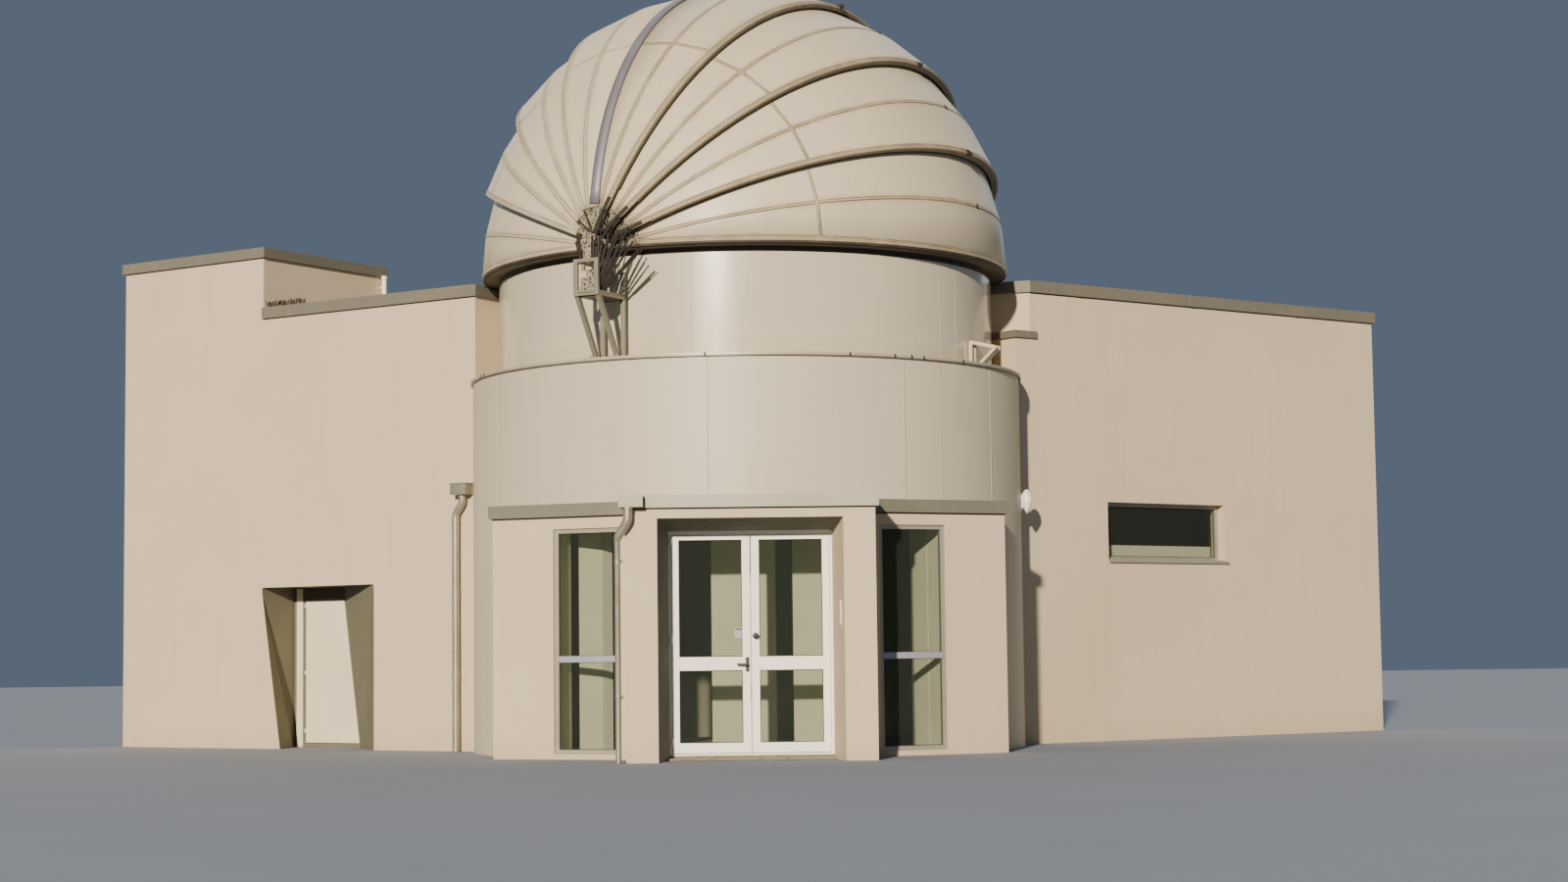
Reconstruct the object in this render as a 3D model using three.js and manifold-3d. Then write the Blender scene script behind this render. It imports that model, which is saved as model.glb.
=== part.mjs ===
// An observatory building with a clamshell dome, in millimetres, +Z up.
// The origin is on the ground on the axis of the round drum. The entrance faces -Y.

import * as THREE from 'three';
import { ConvexGeometry } from 'three/addons/geometries/ConvexGeometry.js';
import { mergeVertices } from 'three/addons/utils/BufferGeometryUtils.js';
import Module from 'manifold-3d';

const wasm = await Module();
wasm.setup();

// Driving dimensions of the drum
const DRUM_RADIUS = 3430;
const DRUM_WALL = 220;
const DRUM_SIDES = 72;
const LEDGE_RADIUS = 3460;
const LEDGE_BOTTOM = 4555;
const LEDGE_TOP = 4600;
const UPPER_RADIUS = 3100;
const UPPER_WALL = 160;
const UPPER_TOP = 5800;
const RING_STEP = 5860;
const RING_RADIUS = 3300;
const FLOOR_TOP = 50;

// Driving dimensions of the dome, whose shells turn on one level axis
const PIVOT_HEIGHT = 5900;
const PIVOT_TURN = -29;
const SHELL_SHEET = 28;
const SHELL_RADII = { top: 3626, upper: 3535, lower: 3430, base: 3310 };
const FACET = 11.25;
const ARC_STEPS = 20;
const TIP_ANGLE = 6.8;
const HUB_PLATE = 12;
const HUB_SETBACK = 35;
const SHAFT_RADIUS = 40;
const EYE_BORE = 41.3;
const EYE_RADIUS = 92;

// Driving dimensions of the porch and the two window bays beside it
const PORCH_HALF = 1380;
const PORCH_FRONT = -4200;
const PORCH_WALL_TOP = 2790;
const PORCH_TOP = 2930;
const PORCH_HEAD = 2550;
const DOOR_HALF = 920;
const DOOR_HEAD = 2560;
const DOOR_PLANE = -3600;
const BAY_ANGLE = 25;
const BAY_START = [1380, -3240];
const BAY_LENGTH = 1767;
const BAY_WALL_TOP = 2770;
const BAY_TOP = 2920;
const BAY_WINDOW = { from: 105, to: 970, sill: 60, head: 2630 };

// Driving dimensions of the two straight wings
const WING_ANGLE = 34.5;
const WING_START = 3420;
const WING_LENGTH = { left: 6320, right: 6630 };
const WING_DEPTH = 3000;
const WING_WALL = 250;
const WING_WALL_TOP = 5730;
const WING_TOP = 5880;
const TRAY_LEVEL = 5800;
const COPING_REACH = 40;
const TOWER_FROM = 3680;
const TOWER_DEPTH = 2400;
const TOWER_WALL_TOP = 6560;
const TOWER_TOP = 6700;
const RECESS_DEPTH = 620;
const RECESS_HEAD = 2130;
const SIDE_DOOR = { hinge: 3480, latchTop: 2795, latchBottom: 2520, head: 1955 };
const CHAMFER = 250;
const CHAMFER_BOTTOM = 5140;
const SLOT = { from: 1520, to: 3620, sill: 2330, head: 3080 };

// Gap between pieces that touch in turned groups
const FIT = 0.3;

const degrees = THREE.MathUtils.degToRad;

function toSolid(geometry) {
  const clean = geometry.clone();
  clean.deleteAttribute('normal');
  clean.deleteAttribute('uv');
  const merged = mergeVertices(clean, 0.001);
  return new wasm.Manifold(new wasm.Mesh({
    numProp: 3,
    vertProperties: new Float32Array(merged.attributes.position.array),
    triVerts: new Uint32Array(merged.index.array),
  }));
}

function toGeometry(solid) {
  const mesh = solid.getMesh();
  const geometry = new THREE.BufferGeometry();
  geometry.setAttribute('position', new THREE.BufferAttribute(mesh.vertProperties, 3));
  geometry.setIndex(new THREE.BufferAttribute(mesh.triVerts, 1));
  geometry.computeVertexNormals();
  return geometry;
}

function join(...solids) {
  return solids.reduce((sum, solid) => sum.add(solid));
}

function cut(solid, ...tools) {
  return tools.reduce((rest, tool) => rest.subtract(tool), solid);
}

function block(x0, x1, y0, y1, z0, z1) {
  const box = new THREE.BoxGeometry(x1 - x0, y1 - y0, z1 - z0);
  box.translate((x0 + x1) / 2, (y0 + y1) / 2, (z0 + z1) / 2);
  return toSolid(box);
}

function prism(points, z0, z1) {
  const shape = new THREE.Shape(points.map(([x, y]) => new THREE.Vector2(x, y)));
  const geometry = new THREE.ExtrudeGeometry(shape, { depth: z1 - z0, bevelEnabled: false });
  geometry.translate(0, 0, z0);
  return toSolid(geometry);
}

function hull(points) {
  return toSolid(new ConvexGeometry(points.map((p) => new THREE.Vector3(...p))));
}

// Turns a closed profile of [distance from the axis, place along it] points about Y
function spun(profile, sides) {
  const points = profile.map(([r, y]) => new THREE.Vector2(r, y));
  if (THREE.ShapeUtils.area(points) < 0) {
    points.reverse();
  }
  points.push(points[0].clone());
  return toSolid(new THREE.LatheGeometry(points, sides));
}

// The same about Z
function turned(profile, sides) {
  return spun(profile, sides).rotate([90, 0, 0]);
}

function ring(inner, outer, z0, z1) {
  return turned([[inner, z0], [outer, z0], [outer, z1], [inner, z1]], DRUM_SIDES);
}

function disc(radius, z0, z1, x = 0, y = 0) {
  const geometry = new THREE.CylinderGeometry(radius, radius, z1 - z0, DRUM_SIDES);
  geometry.rotateX(Math.PI / 2);
  geometry.translate(x, y, (z0 + z1) / 2);
  return toSolid(geometry);
}

function pipe(points, radius, steps) {
  const path = new THREE.CatmullRomCurve3(points.map((p) => new THREE.Vector3(...p)), false,
    'catmullrom', 0.2);
  const shape = new THREE.Shape();
  shape.absarc(0, 0, radius, 0, Math.PI * 2, false);
  const geometry = new THREE.ExtrudeGeometry(shape, {
    steps,
    curveSegments: 6,
    extrudePath: path,
  });
  return toSolid(geometry);
}

// A straight bar between two points, square or deeper than it is wide
function bar(start, end, size, deep = size) {
  const a = new THREE.Vector3(...start);
  const b = new THREE.Vector3(...end);
  const geometry = new THREE.BoxGeometry(size, deep, a.distanceTo(b));
  const turn = new THREE.Quaternion().setFromUnitVectors(
    new THREE.Vector3(0, 0, 1),
    b.clone().sub(a).normalize(),
  );
  geometry.applyQuaternion(turn);
  geometry.translate((a.x + b.x) / 2, (a.y + b.y) / 2, (a.z + b.z) / 2);
  return toSolid(geometry);
}

const PAINTS = {
  render: [0xd6c5b2, 0.85, 0],
  cladding: [0xbab2a0, 0.45, 0.1],
  coping: [0x9a917c, 0.5, 0.3],
  shell: [0xc9c2ac, 0.4, 0.1],
  galvanised: [0x8e8d83, 0.5, 0.7],
  reveal: [0x7d7058, 0.8, 0],
  whiteMetal: [0xe6e0cc, 0.4, 0.1],
  aluminium: [0x8f8b80, 0.4, 0.6],
  glass: [0x5a5f5c, 0.08, 0],
  blackPlastic: [0x1c1b1a, 0.5, 0],
  zincPipe: [0x968d77, 0.45, 0.5],
  concrete: [0xa59d8d, 0.9, 0],
};

function named(name, solid, paint) {
  const [color, roughness, metalness] = PAINTS[paint];
  const material = new THREE.MeshStandardMaterial({ color, roughness, metalness });
  if (paint === 'glass') {
    material.transparent = true;
    material.opacity = 0.35;
  }
  const mesh = new THREE.Mesh(toGeometry(solid), material);
  mesh.name = name;
  return mesh;
}

const building = new THREE.Group();

// A point at an azimuth from the front, positive to the right, on a circle about the axis
function onCircle(azimuth, radius) {
  const a = degrees(azimuth);
  return [radius * Math.sin(a), -radius * Math.cos(a)];
}

function sector(from, to, z0, z1) {
  const points = [[0, 0]];
  const steps = Math.ceil((to - from) / 60);
  for (let i = 0; i <= steps; i += 1) {
    points.push(onCircle(from + ((to - from) * i) / steps, 9000));
  }
  return prism(points, z0, z1);
}

// Frames that the window bays and the wings are drawn in
function turnedGroup(x, y, angle) {
  const group = new THREE.Group();
  group.position.set(x, y, 0);
  group.rotation.z = degrees(angle);
  building.add(group);
  return group;
}

// Moves a solid drawn in a turned frame into the building's frame
function intoBuilding(solid, x, y, angle) {
  return solid.rotate([0, 0, angle]).translate([x, y, 0]);
}

// The window opening of a bay, drawn in the bay's own frame with x along its wall
function bayOpening(side) {
  const edges = [BAY_WINDOW.from * side, BAY_WINDOW.to * side].sort((a, b) => a - b);
  return block(edges[0], edges[1], -300, 1100, BAY_WINDOW.sill, BAY_WINDOW.head);
}

// Lower drum wall, split beside and over the entrance
const lowerRing = ring(DRUM_RADIUS - DRUM_WALL, DRUM_RADIUS, 0, LEDGE_BOTTOM);
const doorway = block(-DOOR_HALF, DOOR_HALF, -4000, -2500, -10, DOOR_HEAD);
const overDoor = block(-DOOR_HALF, DOOR_HALF, -4000, -2500, DOOR_HEAD, 4600);
const openings = [-1, 1].map((side) => intoBuilding(bayOpening(side),
  BAY_START[0] * side, BAY_START[1], BAY_ANGLE * side));
const frontWall = cut(lowerRing, doorway, overDoor, ...openings);
building.add(named('drum_wall_over_entrance', lowerRing.intersect(overDoor), 'cladding'));
building.add(named('drum_wall_front_left', frontWall.intersect(sector(-90, 0, -10, 4600)), 'cladding'));
building.add(named('drum_wall_front_right', frontWall.intersect(sector(0, 90, -10, 4600)), 'cladding'));
building.add(named('drum_wall_back_left', lowerRing.intersect(sector(-180, -90, -10, 4600)), 'cladding'));
building.add(named('drum_wall_back_right', lowerRing.intersect(sector(90, 180, -10, 4600)), 'cladding'));

// Drum floor, which runs out to the entrance, and the two panels of the lobby wall on it
const THRESHOLD = DOOR_PLANE + 85 + FIT;
const LOBBY = { front: -2390, back: -2290, top: 2700, panels: [[-450, 300], [500, 1250]] };
const lobbyPanels = LOBBY.panels.map(([x0, x1]) => block(x0, x1, LOBBY.front, LOBBY.back,
  FLOOR_TOP - 1, LOBBY.top));
building.add(named('drum_floor_and_lobby_wall', join(
  disc(DRUM_RADIUS - DRUM_WALL - FIT, 0, FLOOR_TOP),
  block(-DOOR_HALF + FIT, DOOR_HALF - FIT, THRESHOLD, -3000, 0, FLOOR_TOP),
  ...lobbyPanels,
), 'concrete'));

// Ledge, upper drum wall and the ring that the dome stands on
building.add(named('drum_ledge', ring(2900, LEDGE_RADIUS, LEDGE_BOTTOM, LEDGE_TOP), 'coping'));
const upperRing = ring(UPPER_RADIUS - UPPER_WALL, UPPER_RADIUS, LEDGE_TOP, UPPER_TOP);
building.add(named('upper_drum_front', upperRing.intersect(sector(-90, 90, 4000, 6000)), 'cladding'));
building.add(named('upper_drum_back', upperRing.intersect(sector(90, 270, 4000, 6000)), 'cladding'));
building.add(named('dome_base_ring', turned([
  [UPPER_RADIUS - UPPER_WALL, UPPER_TOP],
  [UPPER_RADIUS - 20, UPPER_TOP],
  [UPPER_RADIUS - 20, RING_STEP],
  [RING_RADIUS, RING_STEP],
  [RING_RADIUS, PIVOT_HEIGHT - FIT],
  [UPPER_RADIUS - UPPER_WALL, PIVOT_HEIGHT - FIT],
], DRUM_SIDES), 'galvanised'));

// The dome's frame has Y on the pivot axis, the right half on +X and the front pole at -Y
const dome = new THREE.Group();
dome.position.set(0, 0, PIVOT_HEIGHT);
dome.rotation.z = degrees(PIVOT_TURN);
building.add(dome);

// The part of space between two tilts, measured up from +X about the pivot axis
function tilted(from, to, reach) {
  const points = [[0, 0]];
  for (const tilt of [from, (from + to) / 2, to]) {
    points.push([reach * Math.cos(degrees(tilt)), reach * Math.sin(degrees(tilt))]);
  }
  return prism(points, -4200, 4200).rotate([90, 0, 0]);
}

// Points on a circle in the section, from one pole's tip to the other's, less some at each end
function arc(radius, less = 0) {
  const points = [];
  for (let i = less; i <= ARC_STEPS - less; i += 1) {
    const angle = degrees(TIP_ANGLE + ((180 - 2 * TIP_ANGLE) * i) / ARC_STEPS);
    points.push([radius * Math.sin(angle), radius * Math.cos(angle)]);
  }
  return points;
}

// The section of one shell along the pivot axis, with a flat hub plate at each pole
function shellProfile(radius, setBack) {
  const inside = radius - SHELL_SHEET;
  const face = radius * Math.cos(degrees(TIP_ANGLE)) - setBack;
  const back = face - HUB_PLATE;
  const corner = inside * Math.sin(Math.acos(back / inside));
  const outer = arc(radius);
  const inner = [[corner, -back], ...arc(inside, 1).reverse(), [corner, back]];
  if (setBack === 0) {
    return [[EYE_BORE, face], ...outer, [EYE_BORE, -face], [EYE_BORE, -back], ...inner,
      [EYE_BORE, back]];
  }
  const meet = inside * Math.sin(Math.acos(face / inside));
  const tip = arc(inside)[0];
  return [[EYE_BORE, face], [meet, face], tip, ...outer, [tip[0], -tip[1]], [meet, -face],
    [EYE_BORE, -face], [EYE_BORE, -back], ...inner, [EYE_BORE, back]];
}

// A shell from its lower edge to its upper edge, with the eyes it turns on if it moves
function shell(radius, from, to, setBack, moves) {
  const full = spun(shellProfile(radius, setBack), 360 / FACET);
  const solid = full.intersect(tilted(from, to, 9000));
  if (!moves) {
    return solid;
  }
  const face = radius * Math.cos(degrees(TIP_ANGLE)) - setBack;
  const eyes = [-1, 1].map((side) => spun([[EYE_BORE, face * side], [EYE_RADIUS, face * side],
    [EYE_RADIUS, (face - HUB_PLATE) * side], [EYE_BORE, (face - HUB_PLATE) * side]], 16));
  return join(solid, ...eyes);
}

// Right half, drawn from the base up; each shell laps over the one below it
const rightShells = [
  ['right_base_shell', shell(SHELL_RADII.base, 0, 25, 0, false)],
  ['right_lower_shell', shell(SHELL_RADII.lower, 22, 47.5, 0, true)],
  ['right_upper_shell', shell(SHELL_RADII.upper, 44, 70, 0, true)],
  ['right_top_shell', shell(SHELL_RADII.top, 66, 89.85, 0, true)],
];
for (const [name, solid] of rightShells) {
  dome.add(named(name, solid, 'shell'));
}

// Left half, the mirror of the right one, with its hub plates set back behind them
const mirrorX = (solid) => solid.mirror([1, 0, 0]);
const leftShells = [
  ['left_base_shell', shell(SHELL_RADII.base, 0, 25, 0, false)],
  ['left_lower_shell', shell(SHELL_RADII.lower, 22, 47.5, HUB_SETBACK, true)],
  ['left_upper_shell', shell(SHELL_RADII.upper, 44, 70, HUB_SETBACK, true)],
];
for (const [name, solid] of leftShells) {
  dome.add(named(name, mirrorX(solid), 'shell'));
}

// The left top shell carries the strip that covers the meeting line of the two halves
const leftTop = mirrorX(shell(SHELL_RADII.top, 66, 89.85, HUB_SETBACK, true));
const strip = (inner, from) => spun([...arc(SHELL_RADII.top + 22),
  ...arc(SHELL_RADII.top + inner).reverse()], 360 / FACET).intersect(tilted(from, 90.9, 9000));
const stripFoot = strip(-10, 90.15);
const stripLap = strip(10, 88.5);
dome.add(named('left_top_shell', join(leftTop, stripFoot, stripLap), 'shell'));

// Steel bracket and fixed shaft at each pole, standing on the ledge
const underLedge = block(-4200, 4200, -4200, 4200, LEDGE_BOTTOM - PIVOT_HEIGHT,
  LEDGE_TOP - PIVOT_HEIGHT);
function bearingBracket() {
  const near = -(UPPER_RADIUS + 8);
  const far = -3920;
  const half = 165;
  const top = 5670 - PIVOT_HEIGHT;
  const bottom = 5220 - PIVOT_HEIGHT;
  const ledge = LEDGE_TOP - PIVOT_HEIGHT;
  const size = 45;
  const parts = [
    block(-half, half, far, near - 6, top - 25, top),
    block(-half, half, far, far + size, bottom, bottom + size),
    block(-half, half, near - size - 6, near - 6, bottom, bottom + size),
  ];
  for (const side of [-1, 1]) {
    const x0 = side > 0 ? half - size : -half;
    parts.push(block(x0, x0 + size, far, near - 6, bottom, bottom + size));
    parts.push(block(x0, x0 + size, far, far + size, bottom, top - 10));
    parts.push(block(x0, x0 + size, near - size - 6, near - 6, ledge, top - 10));
    parts.push(bar([side * (half - size / 2), far + 62, bottom + 12],
      [side * (half - size / 2), -3350, ledge + 12], 42, 80));
    parts.push(block(x0, x0 + size, -3430, -3270, ledge, ledge + 14));
  }
  for (const place of [-3720, -3860]) {
    parts.push(block(-50, 50, place, place + 22, top - 10, 95));
  }
  const shaft = new THREE.CylinderGeometry(SHAFT_RADIUS, SHAFT_RADIUS, 530, 24);
  shaft.translate(0, -3615, 0);
  parts.push(toSolid(shaft));
  return cut(join(...parts), underLedge);
}
dome.add(named('front_bearing_bracket', bearingBracket(), 'galvanised'));
dome.add(named('back_bearing_bracket', bearingBracket().mirror([0, 1, 0]), 'galvanised'));

// Stop of two small triangular frames on the ledge, square to the pivot axis on each side
function ledgeStop() {
  const ledge = LEDGE_TOP - PIVOT_HEIGHT;
  const foot = UPPER_RADIUS + 30;
  const frames = [-55, 55].flatMap((y) => [
    block(foot - 20, foot + 20, y - 20, y + 20, ledge, ledge + 305),
    bar([foot - 5, y, ledge + 300], [3470, y, ledge + 215], 40),
    bar([3455, y, ledge + 215], [foot + 95, y, ledge + 10], 36),
  ]);
  return cut(join(
    ...frames,
    block(foot - 20, foot + 150, -80, 80, ledge, ledge + 10),
    block(foot - 14, foot + 14, -50, 50, ledge + 270, ledge + 300),
  ), underLedge);
}
dome.add(named('right_ledge_stop', ledgeStop(), 'galvanised'));
dome.add(named('left_ledge_stop', mirrorX(ledgeStop()), 'galvanised'));

// Porch: two piers and a head with splayed reveals, cut to the drum behind
const drumTool = disc(DRUM_RADIUS + FIT, -20, LEDGE_BOTTOM);
const porchBlock = block(-PORCH_HALF, PORCH_HALF, PORCH_FRONT, -3000, 0, PORCH_WALL_TOP);
const splay = [];
for (const side of [-1, 1]) {
  splay.push([side * 1040, PORCH_FRONT - 80, -60], [side * 1040, PORCH_FRONT - 80, 2690]);
  splay.push([side * DOOR_HALF, DOOR_PLANE, -60], [side * DOOR_HALF, DOOR_PLANE, DOOR_HEAD]);
}
const passage = block(-DOOR_HALF, DOOR_HALF, DOOR_PLANE - 1, -2900, -60, DOOR_HEAD);
const porch = cut(porchBlock, hull(splay), passage, drumTool);
building.add(named('porch_left_pier', porch.intersect(
  block(-1500, 0, -4300, -2900, -10, PORCH_HEAD)), 'render'));
building.add(named('porch_right_pier', porch.intersect(
  block(0, 1500, -4300, -2900, -10, PORCH_HEAD)), 'render'));
building.add(named('porch_head', porch.intersect(
  block(-1500, 1500, -4300, -2900, PORCH_HEAD, 3000)), 'render'));
// The porch's capping, with the outlet box of its gutter at the left end of the front
const OUTLET = { left: -1445, right: -1175, front: -4346, bottom: 2796, top: 2926 };
building.add(named('porch_coping', join(cut(block(-PORCH_HALF - COPING_REACH,
  PORCH_HALF + COPING_REACH, PORCH_FRONT - COPING_REACH, -3000, PORCH_WALL_TOP, PORCH_TOP),
drumTool), block(OUTLET.left, OUTLET.right, OUTLET.front, PORCH_FRONT - COPING_REACH + 1,
  OUTLET.bottom, OUTLET.top)), 'coping'));

// One half of a butt hinge: the knuckle and the plate that is screwed to a face in front of it
const KNUCKLE = { radius: 8, length: 45, plate: 7, offset: 12 };
function hingeHalf(x, face, z, reach, upper) {
  const from = upper ? z + FIT / 2 : z - KNUCKLE.length;
  const to = upper ? z + KNUCKLE.length : z - FIT / 2;
  const knuckle = new THREE.CylinderGeometry(KNUCKLE.radius, KNUCKLE.radius, to - from, 12);
  knuckle.rotateX(Math.PI / 2);
  knuckle.translate(x, face - KNUCKLE.offset, (from + to) / 2);
  const [x0, x1] = [x, x + reach].sort((a, b) => a - b);
  return join(toSolid(knuckle), block(x0, x1, face - KNUCKLE.plate, face + 1, from, to));
}

// Entrance frame with its sill, and two glazed leaves with a lever and a knob
const LEAF = { hinge: 885, meet: 6, bottom: 78, top: 2508, front: DOOR_PLANE + 15, back: DOOR_PLANE + 65 };
const LEAF_HINGES = [200, 1340, 2440];
const HINGE_LINE = 889;
const frameOuter = block(-DOOR_HALF + FIT, DOOR_HALF - FIT, LEAF.front, LEAF.front + 70, 0, DOOR_HEAD - FIT);
const frameInner = block(-LEAF.hinge - 6, LEAF.hinge + 6, LEAF.front - 100, LEAF.back + 100, 70,
  LEAF.top + 8);
const frameHinges = [-1, 1].flatMap((side) => LEAF_HINGES.map((z) => hingeHalf(side * HINGE_LINE,
  LEAF.front, z, side * 28, false)));
building.add(named('entrance_frame', join(cut(frameOuter, frameInner), ...frameHinges),
  'whiteMetal'));

function glazedLeaf(side) {
  const [x0, x1] = [LEAF.meet * side, LEAF.hinge * side].sort((a, b) => a - b);
  const body = block(x0, x1, LEAF.front, LEAF.back, LEAF.bottom, LEAF.top);
  const meeting = 90;
  const hinged = 80;
  const left = x0 + (side > 0 ? meeting : hinged);
  const right = x1 - (side > 0 ? hinged : meeting);
  const [near, far] = [LEAF.front - 100, LEAF.back + 100];
  const lowPane = block(left, right, near, far, LEAF.bottom + 112, 997);
  const highPane = block(left, right, near, far, 1147, LEAF.top - 50);
  const pocket = block(left - 13, right + 13, LEAF.front + 19.5, LEAF.front + 30.5,
    LEAF.bottom + 99, LEAF.top - 37);
  const sheet = block(left - 12, right + 12, LEAF.front + 20, LEAF.front + 30, LEAF.bottom + 100,
    LEAF.top - 38);
  const hinges = LEAF_HINGES.map((z) => hingeHalf(side * HINGE_LINE, LEAF.front, z, side * -40, true));
  return { frame: join(cut(body, lowPane, highPane, pocket), ...hinges), sheet };
}
for (const [side, word] of [[-1, 'left'], [1, 'right']]) {
  const { frame, sheet } = glazedLeaf(side);
  building.add(named(`entrance_${word}_leaf`, frame, 'whiteMetal'));
  building.add(named(`entrance_${word}_glass`, sheet, 'glass'));
}
const spindle = new THREE.CylinderGeometry(9, 9, 50, 16);
spindle.translate(-42, LEAF.front - 25, 1062);
const plate = block(-62, -22, LEAF.front - 8, LEAF.front, 980, 1140);
const lever = block(-160, -32, LEAF.front - 62, LEAF.front - 44, 1051, 1073);
building.add(named('entrance_lever', join(toSolid(spindle), plate, lever), 'blackPlastic'));
const knob = new THREE.LatheGeometry([[0, 0], [34, 0], [34, 8], [14, 12], [14, 30], [33, 42],
  [33, 56], [0, 64]].map(([r, h]) => new THREE.Vector2(r, h)), 20);
knob.rotateX(Math.PI);
knob.translate(51, LEAF.front, 1381);
building.add(named('entrance_knob', toSolid(knob), 'blackPlastic'));

// Window bays beside the porch, solid back to the drum, with full-height windows
const porchTool = block(-PORCH_HALF - FIT, PORCH_HALF + FIT, -4300, -2900, -10, PORCH_WALL_TOP + FIT);
const porchCapTool = block(-PORCH_HALF - COPING_REACH - FIT, PORCH_HALF + COPING_REACH + FIT,
  -4300, -2900, PORCH_WALL_TOP - 200, PORCH_TOP + 200);
function intoFrame(solid, x, y, angle) {
  return solid.translate([-x, -y, 0]).rotate([0, 0, -angle]);
}
for (const [side, word] of [[-1, 'left'], [1, 'right']]) {
  const x = BAY_START[0] * side;
  const y = BAY_START[1];
  const angle = BAY_ANGLE * side;
  const group = turnedGroup(x, y, angle);
  const local = (solid) => intoFrame(solid, x, y, angle);
  const span = (from, to, ...rest) => {
    const [x0, x1] = [from * side, to * side].sort((a, b) => a - b);
    return block(x0, x1, ...rest);
  };
  const drum = local(drumTool);
  const wall = cut(span(-200, BAY_LENGTH, 0, 700, 0, BAY_WALL_TOP), bayOpening(side), drum,
    local(porchTool));
  group.add(named(`${word}_bay_wall`, wall, 'render'));
  const cap = cut(span(-200, BAY_LENGTH + COPING_REACH, -COPING_REACH, 760,
    BAY_WALL_TOP, BAY_TOP), drum, local(porchCapTool));
  group.add(named(`${word}_bay_coping`, cap, 'coping'));
  const w = BAY_WINDOW;
  const outer = span(w.from + FIT, w.to - FIT, 28, 88, w.sill, w.head - FIT);
  const lowPane = span(w.from + 52, w.to - 52, 0, 200, w.sill + 50, 1105);
  const highPane = span(w.from + 52, w.to - 52, 0, 200, 1172, w.head - 50);
  const pocket = span(w.from + 40, w.to - 40, 52.5, 63.5, w.sill + 38, w.head - 38);
  const sheet = span(w.from + 41, w.to - 41, 53, 63, w.sill + 39, w.head - 39);
  group.add(named(`${word}_bay_window_frame`, cut(outer, lowPane, highPane, pocket), 'aluminium'));
  group.add(named(`${word}_bay_glass`, sheet, 'glass'));
}

// Wings: what is cut from them where they meet the drum, the ledge and the dome's ring
function drumTools(x, y, angle) {
  return [
    disc(DRUM_RADIUS + FIT, -20, LEDGE_BOTTOM - FIT),
    disc(LEDGE_RADIUS + FIT, LEDGE_BOTTOM - 2 * FIT, LEDGE_TOP + FIT),
    disc(UPPER_RADIUS + FIT, LEDGE_TOP, RING_STEP - 8),
    disc(RING_RADIUS + 10, RING_STEP - 10, 7000),
  ].map((tool) => intoFrame(tool, x, y, angle));
}

// Left wing, drawn with x along its front wall and the corner at the drum as origin
const left = turnedGroup(-WING_START, 0, -WING_ANGLE);
const leftCuts = drumTools(-WING_START, 0, -WING_ANGLE);
const L = WING_LENGTH.left;
const recess = hull([
  [-3686, -20, RECESS_HEAD], [-3341, -20, -20], [-1678, -20, RECESS_HEAD], [-1678, -20, -20],
  [-3690, RECESS_DEPTH, RECESS_HEAD], [-3690, RECESS_DEPTH, -20],
  [-2790, RECESS_DEPTH, RECESS_HEAD], [-2505, RECESS_DEPTH, -20],
]);
const frontLeft = cut(join(
  block(-L, 0, 0, WING_WALL, 0, WING_WALL_TOP),
  block(-L, -TOWER_FROM, 0, WING_WALL, WING_WALL_TOP - 100, TOWER_WALL_TOP),
), recess, ...leftCuts);
const returnLeft = cut(block(-WING_WALL, 0, WING_WALL - 1, 1200, LEDGE_TOP + FIT, WING_WALL_TOP),
  ...leftCuts);
const innerPart = join(
  block(-1678, 100, -10, 300, -10, 6000),
  block(-2600, -1677, -10, 300, -10, RECESS_HEAD),
);
const overPart = block(-TOWER_FROM, -1678, -10, 300, RECESS_HEAD, 7000);
left.add(named('left_wing_front_wall_near', join(frontLeft.intersect(innerPart), returnLeft),
  'render'));
left.add(named('left_wing_wall_over_side_door', frontLeft.intersect(overPart), 'render'));
left.add(named('left_wing_front_wall_far', cut(frontLeft, innerPart, overPart), 'render'));
left.add(named('left_wing_rear_walls', cut(join(
  block(-L, -L + WING_WALL, WING_WALL + FIT, WING_DEPTH, 0, WING_WALL_TOP),
  block(-L, -L + WING_WALL, WING_WALL + FIT, TOWER_DEPTH, WING_WALL_TOP - 100, TOWER_WALL_TOP),
  block(-L, 0, WING_DEPTH - WING_WALL, WING_DEPTH, 0, WING_WALL_TOP),
), ...leftCuts), 'render'));

// Roof of the left wing, a tray whose rim is the coping, open where the tower stands
const reach = COPING_REACH;
const leftRoof = cut(block(-L - reach, reach, -reach, WING_DEPTH + reach, WING_WALL_TOP, WING_TOP),
block(-L + 290, -290, 290, WING_DEPTH - 290, TRAY_LEVEL, 6000),
block(-L - 100, -TOWER_FROM + FIT, -100, WING_WALL + FIT, 5000, 7000),
block(-L - 100, -L + WING_WALL + FIT, -100, TOWER_DEPTH + FIT, 5000, 7000),
block(-L + 280, -TOWER_FROM + FIT, 200, TOWER_DEPTH + FIT, TRAY_LEVEL, 7000),
...leftCuts);
left.add(named('left_wing_roof', leftRoof, 'coping'));

// Tower over the outer end of the left wing
left.add(named('tower_back_walls', cut(block(-L + WING_WALL + FIT, -TOWER_FROM,
  WING_WALL + FIT, TOWER_DEPTH, TRAY_LEVEL, TOWER_WALL_TOP),
block(-L + WING_WALL - 5, -TOWER_FROM - WING_WALL, WING_WALL - 5, TOWER_DEPTH - WING_WALL,
  TRAY_LEVEL - 5, 7000),
block(-L + WING_WALL - 5, -L + WING_WALL + 100, TOWER_DEPTH - WING_WALL - 5, TOWER_DEPTH + 5,
  TRAY_LEVEL - 5, WING_TOP + FIT)), 'render'));
left.add(named('tower_coping', block(-L - reach, -TOWER_FROM + reach, -reach,
  TOWER_DEPTH + reach, TOWER_WALL_TOP, TOWER_TOP), 'coping'));

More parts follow.
